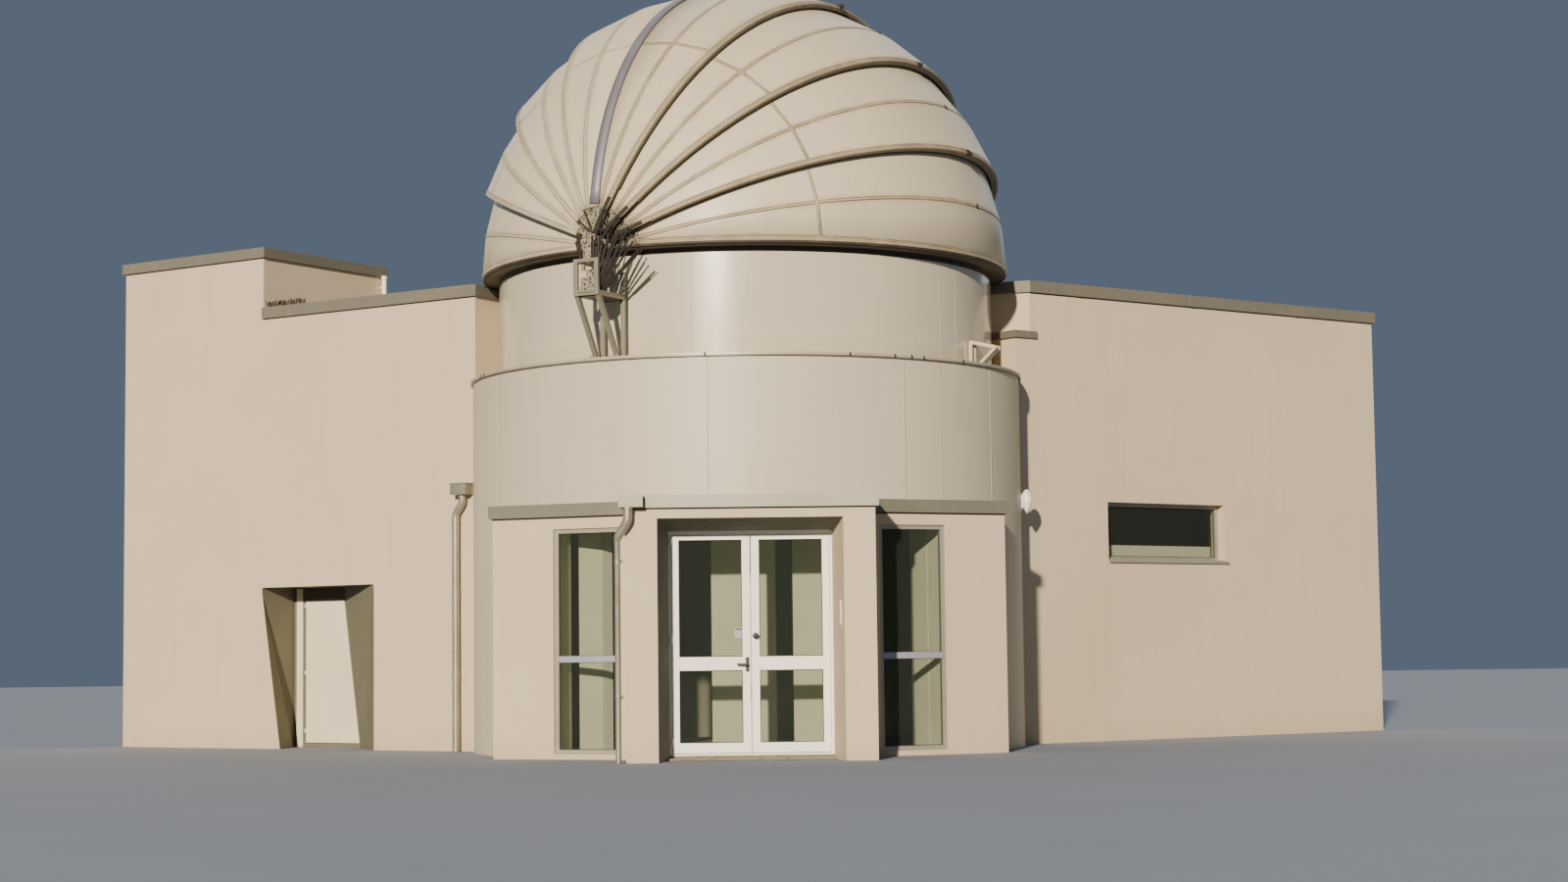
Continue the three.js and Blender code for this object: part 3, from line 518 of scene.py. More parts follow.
def near_seam(finish):
    """The metres from the nearest seam between two gores, at any place on the dome."""
    split = finish.add("ShaderNodeSeparateXYZ")
    finish.feed(split.inputs[0], finish.moved((0, 0, -PIVOT_HEIGHT), (0, 0, DOME_TURN)))
    across = finish.maths("ABSOLUTE", split.outputs["X"])
    squares = finish.maths("ADD", finish.maths("POWER", across, 2.0),
                           finish.maths("POWER", split.outputs["Z"], 2.0))
    tilt = finish.maths("ARCTAN2", split.outputs["Z"], across)
    apart = finish.maths("PINGPONG", finish.times(tilt, 1 / math.radians(GORE)), 0.5)
    return finish.times(finish.times(apart, finish.maths("SQRT", squares)), math.radians(GORE))


gelcoat = Finish("weathered_gelcoat", (211, 196, 166), 0.3)
gelcoat.clouds(1.4, 3, 0.4, 0.7, 0.5, (201, 186, 156))
gelcoat.clouds(0.3, 5, 0.5, 0.75, 0.3, (217, 202, 174))
gelcoat.streaks(0.05, 1.2, 0.6, 0.85, 0.35, (179, 161, 129))
gelcoat.mottle(0.5, 4, 0.2)
gelcoat.grain(0.8, 2, 0.004)
beside_seam = gelcoat.maths("ADD", near_seam(gelcoat), gelcoat.times(gelcoat.noise(0.12, 5), 0.12))
gelcoat.tint(gelcoat.ramp(beside_seam, 0.15, 0.07, 0.5), (177, 158, 126))
for side, name, radius, low, high in SHELLS:
    made = shell_piece(side, name, "shell_sheet", gores(radius, (low, 0), (high, 0)), gelcoat,
                       smooth=6, wall=SHELL_THICKNESS)
    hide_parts(f"{side}_{name}_shell")

# Seam covers
# Thin moulded strips cover the seams between the gores and the two that run across them.
# Dark lines along both edges of each strip are dirt and painted shade. The strips and lines
# of the right half are painted darker, as painted shade on the side away from the sun.
SEAMS = {"top": 78.75, "upper": 56.25, "lower": 33.75, "base": 11.25}
CROSS_SEAMS = (44.1, 135.9)
STRIP_OUT = 0.003
STRIP_HALF = 0.0125
CROSS_HALF = 0.21
DIRT_AND_SHADE_OUT = 0.0016
DIRT_AND_SHADE_LINES = ((-0.022, -0.013), (0.013, 0.022))
CROSS_DIRT_AND_SHADE = ((-0.33, -0.22), (0.22, 0.33))
# The right half's colours are darker than the left's as painted shade; the line colours are dirt and
# painted shade.
SEAM_COLOURS_WITH_RIGHT_SHADE = {
    "right": {"strip": (186, 170, 138), "worn": (163, 146, 114), "stain": (112, 96, 69),
              "dirt_and_shade": (92, 82, 60), "clean": (158, 146, 118), "black": (76, 66, 48)},
    "left": {"strip": (201, 187, 158), "worn": (188, 174, 146), "stain": (148, 134, 108),
             "dirt_and_shade": (126, 116, 94), "clean": (184, 171, 144), "black": (92, 82, 62)}}
seam_finishes = {}
for side, colours in SEAM_COLOURS_WITH_RIGHT_SHADE.items():
    strip_paint = Finish(f"{side}_seam_strip", colours["strip"], 0.45)
    strip_paint.clouds(0.25, 5, 0.45, 0.7, 0.7, colours["worn"])
    strip_paint.clouds(0.04, 4, 0.6, 0.78, 0.7, colours["stain"])
    strip_paint.grain(0.02, 3, 0.0006)
    dirt_and_shade = Finish(f"{side}_seam_dirt_and_shade", colours["dirt_and_shade"], 0.7)
    dirt_and_shade.clouds(0.3, 5, 0.45, 0.7, 0.8, colours["clean"])
    dirt_and_shade.clouds(0.05, 4, 0.5, 0.75, 0.7, colours["black"])
    dirt_and_shade.grain(0.012, 4, 0.001)
    seam_finishes[side] = [strip_paint, dirt_and_shade]
for side, name, radius, low, high in SHELLS:
    tilt = SEAMS[name]
    strips = gores(radius + STRIP_OUT, (tilt, -STRIP_HALF), (tilt, STRIP_HALF))
    for start, end in DIRT_AND_SHADE_LINES:
        gather(strips, in_second(gores(radius + DIRT_AND_SHADE_OUT, (tilt, start), (tilt, end))))
    from_edge, to_edge = (low, 0.052), (high, -0.01)
    for across in CROSS_SEAMS:
        gather(strips, gores(radius + STRIP_OUT, from_edge, to_edge, across - CROSS_HALF,
                             across + CROSS_HALF, 1))
        for start, end in CROSS_DIRT_AND_SHADE:
            gather(strips, in_second(gores(radius + DIRT_AND_SHADE_OUT, from_edge, to_edge, across + start,
                                           across + end, 1)))
    shell_piece(side, name, "seam_covers", strips, seam_finishes[side], smooth=6, wall=0.005)

# Lower edges of the shells
# A folded edge with two raised beads stiffens each sheet. Under it a steel web closes the
# step down to the next shell, with a rubber seal along its inner edge.
WEB_END = 11
WEB_GAP = 0.026
BEADS = ((0.003, 0.013), (0.041, 0.051))
EDGE_DIRT_AND_SHADE = ((0.0135, 0.02), (0.034, 0.0405), (0.0515, 0.06))
rubber = Finish("seal_rubber", (46, 42, 36), 0.8)
rubber.clouds(0.05, 4, 0.5, 0.75, 0.5, (66, 60, 52))
rubber.grain(0.01, 3, 0.0005)
olive_steel = Finish("dull_olive_steel", (132, 123, 101), 0.6, metal=0.3)
olive_steel.clouds(0.12, 5, 0.45, 0.7, 0.7, (110, 101, 80))
olive_steel.clouds(0.03, 4, 0.6, 0.8, 0.5, (92, 82, 62))
olive_steel.grain(0.02, 4, 0.001)


def flat_ring(inner, outer, bottom, top):
    """A band about the middle of the dome, level and open at both poles."""
    outline = ((inner, bottom), (outer, bottom), (outer, top), (inner, top))
    return spun(outline, WEB_END, 180 - 2 * WEB_END, 60)


for side, name, radius, low, high in SHELLS:
    edge = gores(radius + 0.002, (low, -0.0015), (low, 0.056))
    for start, end in BEADS:
        gather(edge, gores(radius + 0.0065, (low, start), (low, end)))
    # The dark lines between and under the beads are dirt and painted shade, darker on the right
    # half.
    for start, end in EDGE_DIRT_AND_SHADE:
        gather(edge, in_second(gores(radius + 0.0032, (low, start), (low, end))))
    shell_piece(side, name, "lower_edge", edge, seam_finishes[side], smooth=6, wall=0.006)
    if name in BELOW:
        inner = RADII[BELOW[name]] + WEB_GAP
        web = flat_ring(inner, radius - 0.003, 0.001, 0.005)
        gather(web, in_second(flat_ring(inner - 0.003, inner + 0.005, -0.008, 0.001)))
        flat = math.cos(math.radians(GORE / 2)) / math.cos(math.radians(low % GORE - GORE / 2))
        bmesh.ops.scale(web, vec=(flat, 1, 1), verts=web.verts)
        bmesh.ops.rotate(web, verts=web.verts, cent=(0, 0, 0),
                         matrix=Matrix.Rotation(-math.radians(low), 3, "Y"))
        shell_piece(side, name, "web", web, [olive_steel, rubber], "galvanised", smooth=30)

# Catches
# A dark steel catch at the middle of each moving lower edge engages the shell below as the
# dome closes, and a small clip holds the middle of each long seam.


def tilted(tilt):
    return Matrix.Rotation(-math.radians(tilt), 4, "Y")


def at_tilt(tilt, across):
    """A frame on the dome with Z out along a radius, X down the slope and Y to the far pole."""
    turn = tilted(tilt - 90)
    return turn @ Matrix.Rotation(math.radians(across - 90), 4, "X").inverted()


def line_frame(start, end, place=None):
    """A frame at the start of a line with its Z towards the end, and the line's length."""
    line = Vector(end) - Vector(start)
    turn = line.to_track_quat("Z", "Y").to_matrix().to_4x4()
    return (place or Matrix()) @ Matrix.Translation(start) @ turn, line.length


def rod(shape, start, end, radius, sides=12, place=None):
    matrix, length = line_frame(start, end, place)
    matrix = matrix @ Matrix.Translation((0, 0, length / 2))
    bmesh.ops.create_cone(shape, cap_ends=True, cap_tris=False, segments=sides, radius1=radius,
                          radius2=radius, depth=length, matrix=matrix)


def bar(shape, start, end, wide, deep, place=None, bevel=0.0):
    """A flat bar between two points, deep along the pivot."""
    matrix, length = line_frame(start, end, place)
    block(shape, (-deep / 2, -wide / 2, 0), (deep / 2, wide / 2, length), matrix, bevel)


for side, name, radius, low, high in SHELLS:
    catch = bmesh.new()
    if name in BELOW:
        place = at_tilt(low, 88)
        block(catch, (-0.056, -0.05, radius - 0.004), (0.012, 0.05, radius + 0.008), place, 0.002)
        block(catch, (0.0, -0.012, radius - 0.03), (0.03, 0.012, radius + 0.026), place, 0.004)
        for hand in (-1, 1):
            bar(catch, (-0.05, 0.04 * hand, radius + 0.005),
                (-0.01, 0.034 * hand, radius + 0.006), 0.012, 0.014, place, 0.002)
            bar(catch, (-0.012, 0.036 * hand, radius + 0.018),
                (0.026, 0.01 * hand, radius + 0.022), 0.028, 0.014, place, 0.003)
    place = at_tilt(SEAMS[name], 89)
    block(catch, (-0.028, -0.022, radius - 0.002), (0.028, 0.022, radius + 0.009), place, 0.003)
    block(catch, (-0.008, -0.008, radius + 0.006), (0.008, 0.008, radius + 0.014), place, 0.003)
    shell_piece(side, name, "catches", catch, dark_steel, "galvanised")

# Meeting strip
# A lead-grey metal strip on the left top shell covers the line where the two halves of the
# dome meet. It stands on a foot and has a folded lip. Its bluish grey is partly a painted
# reflection of the sky in its shaded face.
STRIP_TIP = 7.3
CREST = 90
# Partly painted reflection: the bluish grey stands in part for sky seen in the shaded strip.
grey_sheet_and_sky_reflection = Finish("lead_grey_strip_and_painted_reflection", (136, 134, 142), 0.45, metal=0.35)
grey_sheet_and_sky_reflection.clouds(0.6, 4, 0.4, 0.7, 0.5, (116, 112, 118))
grey_sheet_and_sky_reflection.clouds(0.05, 4, 0.55, 0.8, 0.4, (150, 147, 146))
grey_sheet_and_sky_reflection.mottle(0.2, 4, 0.15)
grey_sheet_and_sky_reflection.grain(0.4, 2, 0.002)
for name, radius, start, end, wall in (("meeting_strip", 3.651, -0.05, 0.075, 0.004),
                                       ("meeting_strip_foot", 3.648, -0.049, -0.044, 0.03),
                                       ("meeting_strip_lip", 3.648, 0.07, 0.0745, 0.012)):
    strip = gores(radius, (CREST, start), (CREST, end), STRIP_TIP, 180 - STRIP_TIP)
    piece(name, into_dome(strip, "left"), grey_sheet_and_sky_reflection, "left_top_shell", "shell", smooth=20,
          wall=wall)

# Hub plates
# Steel fans at both poles carry the shells on the fixed shaft, each in a plane of its own,
# those of the left half set back. Their zinc has gone blotchy, with brown and black spots.
PLATES_OUT = {"top": 3.6005, "upper": 3.5101, "lower": 3.4059, "base": 3.2867}
PLATE_EDGE = {"right": 0.45, "left": 0.462}
LEFT_SET_BACK = 0.035
ABOUT_PIVOT = Matrix.Rotation(math.radians(90), 4, "X")
FAR_POLE = Matrix.Scale(-1, 4, (0, 1, 0))
spotted_zinc = Finish("spotted_zinc", (158, 150, 128), 0.5, metal=0.35)
spotted_zinc.clouds(0.2, 4, 0.4, 0.7, 0.7, (126, 116, 94))
spotted_zinc.clouds(0.035, 4, 0.52, 0.64, 0.85, (84, 70, 50))
spotted_zinc.tint(spotted_zinc.times(spotted_zinc.spots(0.05, 0.36), 0.9), (58, 48, 38))
spotted_zinc.mottle(0.03, 4, 0.25)
spotted_zinc.grain(0.015, 4, 0.001)


def fan(shape, inner, outer, back, front, low=0, high=360):
    """Adds a plate about the pivot between two radii, two places along it and two tilts."""
    steps = 32 if high - low == 360 else max(1, math.ceil((high - low) / GORE))
    outline = ((inner, back), (outer, back), (outer, front), (inner, front))
    turned = spun(outline, low + 90, high - low, steps)
    bmesh.ops.transform(turned, matrix=ABOUT_PIVOT, verts=turned.verts)
    return gather(shape, turned)


def both_poles(shape):
    """Adds the mirror of a shape at the far pole."""
    copy = shape.copy()
    bmesh.ops.transform(copy, matrix=FAR_POLE, verts=copy.verts)
    bmesh.ops.reverse_faces(copy, faces=copy.faces)
    return gather(shape, copy)


def plate_out(side, name):
    """Where a plate stands along the pivot: each in a plane of its own."""
    return PLATES_OUT[name] - (LEFT_SET_BACK if side == "left" and name in BELOW else 0)


for side, name, radius, low, high in SHELLS:
    out = plate_out(side, name)
    edge = PLATE_EDGE[side] - (RADII["top"] - radius) * 0.12
    plate = bmesh.new()
    fan(plate, 0.06 if name in BELOW else 0.11, edge, out - 0.008, out + 0.004, low, high)
    if name in BELOW:
        fan(plate, 0.0416, 0.092, out - 0.0115, out + 0.007)
    fan(plate, edge - 0.03, edge, out, out + 0.012, low + 0.6, high - 0.6)
    for tilt in (low + 3.2, (low + high) / 2, high - 3.2):
        place = tilted(tilt)
        block(plate, (0.13, -out - 0.016, -0.004), (edge - 0.02, -out, 0.004), place, 0.001, 1)
        for reach in (0.155, 0.28, edge - 0.05):
            rod(plate, (reach, -out - 0.014, 0.022), (reach, -out, 0.022), 0.011, 6, place)
    shell_piece(side, name, "hub_plates", both_poles(plate), spotted_zinc, "galvanised",
                bevel=0.0015)

# Arms
# A dark bar runs from the hub out along the lower edge of each moving shell, with a thinner
# rod beside it on the right half, and holds the edge off its neighbours.
for side, wide in (("right", 0.062), ("left", 0.022)):
    for name in BELOW:
        place = tilted(SPANS[name][0])
        line = -plate_out(side, name) - 0.02
        arm = bmesh.new()
        bar(arm, (0.06, line, 0.026), (0.3, line, 0.026), wide, 0.026, place, 0.003)
        bar(arm, (0.29, line, 0.026), (0.41, line, 0.026), wide * 0.75, 0.022, place, 0.003)
        if side == "right":
            bar(arm, (0.4, line, 0.026), (0.56, line + 0.026, 0.022), 0.036, 0.02, place, 0.003)
            bar(arm, (0.14, line + 0.008, -0.034), (0.42, line + 0.008, -0.012), 0.014, 0.014,
                place, 0.002)
            for reach in (0.16, 0.27, 0.38):
                bar(arm, (reach, line + 0.006, -0.032), (reach + 0.03, line + 0.006, 0.01),
                    0.012, 0.012, place)
            for reach in (0.12, 0.25, 0.38):
                rod(arm, (reach, line - 0.02, 0.026), (reach, line + 0.002, 0.026), 0.012, 6, place)
        shell_piece(side, name, "arms", both_poles(arm), dark_steel, "galvanised")

# Bearing brackets
# A cage of painted square tube stands on the ledge at each pole on raking legs and uprights,
# over a floor plate painted dark as painted shade under the cage. Two galvanised plates in it
# hold the fixed shaft. Heights are from the shaft, and places along it from the middle of the
# dome.
TUBE = 0.045
CAGE_HALF = 0.165
CAGE_BETWEEN = 0.113
CAGE_OUT = -3.8
CAGE_IN = -3.18
CAGE_TOP = -0.2
CAGE_FOOT = -0.625
LEDGE_LEVEL = -1.3
BOLT = 0.012
tube_paint = Finish("painted_steel_tube", (132, 126, 106), 0.5, metal=0.2)
tube_paint.clouds(0.15, 4, 0.45, 0.7, 0.5, (142, 135, 116))
tube_paint.clouds(0.02, 5, 0.6, 0.72, 0.7, (96, 84, 64))
tube_paint.streaks(0.02, 0.25, 0.6, 0.8, 0.5, (112, 92, 66))
tube_paint.grain(0.01, 4, 0.0008)
# Painted shade: the floor plate's dark colour stands for the shadow under the cage.
floor_plate_painted_shade = Finish("floor_plate_dark_as_shade", (60, 56, 52), 0.5, metal=0.2)
floor_plate_painted_shade.clouds(0.08, 4, 0.5, 0.75, 0.6, (84, 78, 68))
floor_plate_painted_shade.grain(0.02, 3, 0.0006)
cage = bmesh.new()
within_tube = CAGE_OUT + TUBE
for side in (-1, 1):
    outer, inner = sorted((side * CAGE_HALF, side * CAGE_BETWEEN))
    block(cage, (outer, CAGE_OUT, CAGE_FOOT), (inner, within_tube, CAGE_TOP), bevel=0.004)
    block(cage, (outer, within_tube, CAGE_FOOT), (inner, CAGE_IN, CAGE_FOOT + 0.03), bevel=0.003)
    block(cage, (outer + 0.004, within_tube, CAGE_FOOT + 0.03),
          (inner - 0.004, CAGE_IN, CAGE_FOOT + 0.034))
    block(cage, (outer, within_tube, CAGE_FOOT + 0.034), (inner, CAGE_IN, CAGE_FOOT + 0.058),
          bevel=0.003)
    block(cage, (outer, CAGE_IN - TUBE, LEDGE_LEVEL),
          (inner, CAGE_IN, CAGE_TOP - (0.01 if side < 0 else 0.1)), bevel=0.004)
    leg = side * (CAGE_HALF - 0.026)
    bar(cage, (leg, CAGE_OUT + 0.05, CAGE_FOOT + 0.012), (leg, -3.35, LEDGE_LEVEL + 0.012), 0.06,
        0.05, bevel=0.004)
    block(cage, (leg - 0.05, -3.43, LEDGE_LEVEL), (leg + 0.05, -3.27, LEDGE_LEVEL + 0.012),
          bevel=0.002)
    bolt = leg + 0.036 * side
    for place in (-3.41, -3.29):
        rod(cage, (bolt, place, LEDGE_LEVEL + 0.01), (bolt, place, LEDGE_LEVEL + 0.03), BOLT, 6)
for place, bottom, top, ease in ((CAGE_OUT, CAGE_TOP - 0.042, CAGE_TOP, 0.004),
                                 (CAGE_OUT, CAGE_FOOT, CAGE_FOOT + 0.03, 0.003),
                                 (CAGE_OUT, CAGE_FOOT + 0.034, CAGE_FOOT + 0.062, 0.003),
                                 (CAGE_IN - TUBE, CAGE_FOOT, CAGE_FOOT + 0.058, 0.003)):
    block(cage, (-CAGE_BETWEEN, place, bottom), (CAGE_BETWEEN, place + TUBE, top), bevel=ease)
block(cage, (-CAGE_HALF, within_tube, CAGE_TOP - 0.042), (-CAGE_HALF + TUBE, CAGE_IN, CAGE_TOP),
      bevel=0.004)
block(cage, (-0.12, within_tube, CAGE_TOP - 0.03), (0.07, -3.6, CAGE_TOP - 0.012), bevel=0.002)
bar(cage, (-0.1, -3.74, CAGE_FOOT + 0.05), (-0.1, -3.4, CAGE_TOP - 0.03), 0.03, 0.03, bevel=0.003)
made = piece("bearing_bracket_cages", into_dome(both_poles(cage), "right"), tube_paint,
             slot="galvanised")
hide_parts("front_bearing_bracket", "back_bearing_bracket")
plates = bmesh.new()
for place in (-3.765, -3.675):
    block(plates, (-0.052, place, CAGE_TOP - 0.03), (0.052, place + 0.02, 0.097), bevel=0.004)
    for x in (-0.034, 0.034):
        for z in (-0.15, 0.07):
            rod(plates, (x, place - 0.012, z), (x, place, z), 0.011, 6)
for low, high in (((-0.095, 0.042, -0.575), (0.108, 0.054, -0.415)),
                  ((-0.02, 0.046, -0.425), (0.08, 0.058, -0.325)),
                  ((-0.09, 0.056, -0.33), (-0.05, 0.09, -0.24))):
    block(plates, (low[0], CAGE_OUT + low[1], low[2]), (high[0], CAGE_OUT + high[1], high[2]),
          bevel=0.002)
rod(plates, (0, -3.79, 0), (0, -3.35, 0), 0.0395, 24)
rod(plates, (0, -3.815, 0), (0, -3.79, 0), 0.03, 6)
fan(plates, 0.0405, 0.066, 3.7655, 3.777)
piece("shaft_plates", into_dome(both_poles(plates), "right"), spotted_zinc, slot="galvanised")
floor_plate = bmesh.new()
block(floor_plate, (-0.128, CAGE_OUT + 0.035, CAGE_FOOT - 0.012),
      (0.128, CAGE_IN - 0.02, CAGE_FOOT + 0.002), bevel=0.002)
piece("bracket_floor_plates", into_dome(both_poles(floor_plate), "right"), floor_plate_painted_shade,
      slot="galvanised")

# Stay rods
# A bundle of dark rods rises from each bracket beside the hub and fans out under the lower
# edge of the right half, with thicker ones upright beside the shaft and three to its left.
rods = bmesh.new()
draw = random.Random(7)
STAYS = ((0.2, 0.06), (0.27, 0.08), (0.33, 0.02), (0.4, 0.1), (0.45, 0.03), (0.5, 0.1),
         (0.55, 0.05), (0.57, -0.04), (0.64, -0.12), (0.68, -0.13))
for index, (out, height) in enumerate(STAYS):
    start = Vector((0.07 + 0.006 * index, -3.745 + 0.012 * index, CAGE_FOOT + 0.045))
    end = Vector((out, -3.73 + 0.006 * index if height > -0.1 else -3.66, height))
    rod(rods, start, end, 0.008 + 0.002 * (index % 3), 8)
    rod(rods, start.lerp(end, draw.uniform(0.3, 0.5)), start.lerp(end, draw.uniform(0.75, 0.95)),
        0.014, 8)
for index, (out, height) in enumerate(((0.07, 0.02), (0.1, -0.06), (0.13, 0.05), (0.16, -0.12))):
    rod(rods, (0.065 + 0.012 * index, -3.74 + 0.02 * index, CAGE_FOOT + 0.045),
        (out, -3.73 + 0.01 * index, height), 0.018, 10)
for index in range(3):
    rod(rods, (-0.09 - 0.012 * index, -3.75 + 0.02 * index, CAGE_TOP - 0.01),
        (-0.13 - 0.03 * index, -3.73 + 0.02 * index, 0.1 - 0.04 * index), 0.015, 8)
piece("stay_rods", into_dome(both_poles(rods), "right"), dark_steel, slot="galvanised", smooth=40)

# Ledge stops
# Two small triangular frames of cream painted tube on each side of the ledge stop the last
# shell as the dome opens.
cream_paint = Finish("cream_painted_tube", (194, 184, 156), 0.45)
cream_paint.clouds(0.1, 4, 0.45, 0.7, 0.5, (168, 156, 126))
cream_paint.clouds(0.02, 5, 0.62, 0.74, 0.7, (110, 84, 56))
cream_paint.grain(0.01, 4, 0.0006)
for side in ("right", "left"):
    dressed(f"{side}_stop_frames", f"{side}_ledge_stop", cream_paint, slot="galvanised",
            bevel=0.003)

# Copings and roofs
# Folded sheet caps the walls, with a drip edge that keeps rain off the render and cover
# straps at its joints. Behind the rims the roofs are laid with grey membrane.
TRAY_LEVEL = 5.8
RIMS = {"tower_coping": (0.29, 0.08), "porch_coping": (0.12, 0.035)}
STRAPS = ((LEFT_WING, (-1.55, -3.1), 5.728, 5.882), (RIGHT_WING, (1.1, 3.1, 5.1), 5.728, 5.882),
          (LEFT_WING, (-4.6,), 6.558, 6.702))
COPING_FACE = -0.0418
capping = Finish("folded_capping_sheet", (116, 112, 98), 0.5, metal=0.2)
capping.clouds(1.2, 3, 0.4, 0.7, 0.5, (131, 121, 101))
capping.clouds(0.09, 5, 0.55, 0.8, 0.35, (158, 148, 126))
capping.streaks(0.03, 0.3, 0.6, 0.85, 0.4, (106, 95, 76))
capping.mottle(0.15, 4, 0.15)
capping.grain(0.7, 1, 0.003)
pale_capping = Finish("pale_capping_sheet", (158, 152, 134), 0.45, metal=0.2)
pale_capping.clouds(0.9, 3, 0.4, 0.7, 0.5, (142, 135, 115))
pale_capping.streaks(0.04, 0.3, 0.58, 0.85, 0.5, (174, 166, 146))
pale_capping.grain(0.7, 1, 0.003)
membrane = Finish("roof_membrane", (142, 140, 134), 0.8, gloss=0.3)
membrane.clouds(0.9, 5, 0.4, 0.7, 0.6, (118, 114, 104))
membrane.clouds(0.12, 5, 0.58, 0.75, 0.5, (98, 92, 78))
membrane.grain(0.3, 4, 0.004)


def on_tray(centre, normal):
    return normal.z > 0.9 and abs(centre.z - TRAY_LEVEL) < 0.02


for node in ("left_wing_roof", "right_wing_roof"):
    dressed(node + "_folded", node, [capping, membrane], chosen=on_tray, slot="coping",
            bevel=0.003)
for node in ("tower_coping", "porch_coping", "left_bay_coping", "right_bay_coping",
             "right_wing_step_cap"):
    shape = merged(node)
    if node in RIMS:
        rim, sunk = RIMS[node]
        top = max(shape.faces, key=lambda face: face.calc_center_median().z * face.normal.z)
        bmesh.ops.inset_region(shape, faces=[top], thickness=rim, depth=0, use_even_offset=True)
        bmesh.ops.translate(shape, vec=(0, 0, -sunk), verts=top.verts)
        top.material_index = 1
    sheet = pale_capping if node == "porch_coping" else capping
    dressed(node + "_folded", node, [sheet, membrane], shape, slot="coping", bevel=0.003)
straps = bmesh.new()
for place, spots, bottom, top in STRAPS:
    for x in spots:
        block(straps, (x - 0.05, COPING_FACE, bottom), (x + 0.05, COPING_FACE + 0.0118, top), place,
              0.0008, 1)
        block(straps, (x - 0.05, COPING_FACE, top - 0.004), (x + 0.05, 0.27, top), place, 0.0008, 1)
piece("coping_joint_straps", straps, capping, slot="coping")
# Dark joints under the copings, painted darker as painted shade under the overhang.
sealant_and_shade = Finish("joint_sealant_and_painted_shade", (36, 31, 25), 0.8)
sealant_and_shade.clouds(0.2, 4, 0.45, 0.75, 0.4, (72, 62, 48))
sealant_and_shade.grain(0.01, 3, 0.0004)
joints = bmesh.new()
block(joints, (-1.41, -4.206, 2.774), (1.383, -4.19, 2.7915))
for side in (-1, 1):
    left, right = sorted((0.01 * side, 1.772 * side))
    block(joints, (left, -0.006, 2.7535), (right, 0.01, 2.7715), bay_frame(side))
for start, end, height, place in ((-3.66, 0.0, 5.718, LEFT_WING),
                                  (-6.325, -3.675, 6.548, LEFT_WING),
                                  (0.26, 6.635, 5.718, RIGHT_WING)):
    block(joints, (start, -0.005, height), (end, 0.01, height + 0.0135), place)
piece("coping_shadow_joints", joints, sealant_and_shade, slot="coping")

# Bird spikes
# Thin steel spikes stand on a strip along the left wing's coping beside the tower. They lean
# in three rows, so that no bird finds room to sit.
COPING_TOP = 5.88
spikes = bmesh.new()
block(spikes, (-3.63, 0.0, COPING_TOP - 0.001), (-2.92, 0.03, COPING_TOP + 0.005), LEFT_WING)
for index in range(20):
    x = -3.61 + 0.035 * index
    for lean in (-0.028, 0.0, 0.028):
        high = COPING_TOP + 0.005 + draw.uniform(0.06, 0.085)
        rod(spikes, (x, 0.015, COPING_TOP), (x + draw.uniform(-0.02, 0.02), 0.015 + lean, high),
            0.005, 5, LEFT_WING)
piece("bird_spikes", spikes, dark_steel, slot="galvanised")

# Entrance
# Two glazed leaves of white coated aluminium hang in a frame at the back of the porch, with
# a wide middle rail, dark gaskets, a lever on one leaf and a knob on the other.
WORN_HEIGHT = 0.052
GASKET_LINES = ((-3.572, -3.5651), (-3.5549, -3.549))


def cut(shape, place, normal):
    """Divides the faces of a shape along a plane."""
    bmesh.ops.bisect_plane(shape, geom=shape.verts[:] + shape.edges[:] + shape.faces[:],
                           plane_co=place, plane_no=normal)
    return shape


def pane_frame(shape, low, high, width, place=None):
    """Four strips just inside the edges of an opening, from one corner to the other."""
    (x0, y0, z0), (x1, y1, z1) = low, high
    for corner, far in (((x0, y0, z0), (x0 + width, y1, z1)), ((x1 - width, y0, z0), (x1, y1, z1)),
                        ((x0 + width, y0, z0), (x1 - width, y1, z0 + width)),
                        ((x0 + width, y0, z1 - width), (x1 - width, y1, z1))):
        block(shape, corner, far, place, 0.0008, 1)


white_coat = Finish("white_powder_coat", (252, 247, 230), 0.35)
white_coat.clouds(0.5, 4, 0.45, 0.7, 0.4, (244, 238, 218))
white_coat.streaks(0.03, 0.5, 0.62, 0.82, 0.3, (220, 211, 188))
white_coat.mottle(0.2, 4, 0.12)
white_coat.grain(0.003, 2, 0.00015)
worn_sill = Finish("worn_threshold", (128, 118, 98), 0.7)
worn_sill.clouds(0.08, 5, 0.45, 0.7, 0.7, (98, 88, 70))
worn_sill.grain(0.02, 4, 0.0008)
for node, body in (("entrance_frame", "building"), ("entrance_left_leaf", "entrance_left_leaf"),
                   ("entrance_right_leaf", "entrance_right_leaf")):
    shape = cut(merged(node), (0, 0, WORN_HEIGHT), (0, 0, 1))
    dressed(node + "_coated", node, [white_coat, worn_sill], shape,
            lambda centre, normal: centre.z < WORN_HEIGHT, body=body, slot="white_metal",
            bevel=0.002)
threshold = bmesh.new()
block(threshold, (-0.962, -3.79, 0.001), (0.962, -3.6, 0.028), bevel=0.005)
piece("entrance_threshold", threshold, worn_sill, slot="concrete")
glass = Finish("dark_glass", (58, 64, 58), 0.04, gloss=0.6)
glass.clouds(0.8, 3, 0.4, 0.7, 0.5, (50, 56, 50))
glass.roughen(glass.ramp(glass.runs(0.08, 0.6), 0.55, 0.85), 0.06)
glass.shader.inputs["Alpha"].default_value = 0.2
finish_nodes(glass, "entrance_left_glass", "entrance_right_glass", "left_bay_glass",
             "right_bay_glass", "slot_window_glass")
black_metal = Finish("black_handles", (22, 21, 20), 0.4)
black_metal.mottle(0.02, 3, 0.2)
black_metal.clouds(0.01, 3, 0.55, 0.8, 0.4, (48, 46, 42))
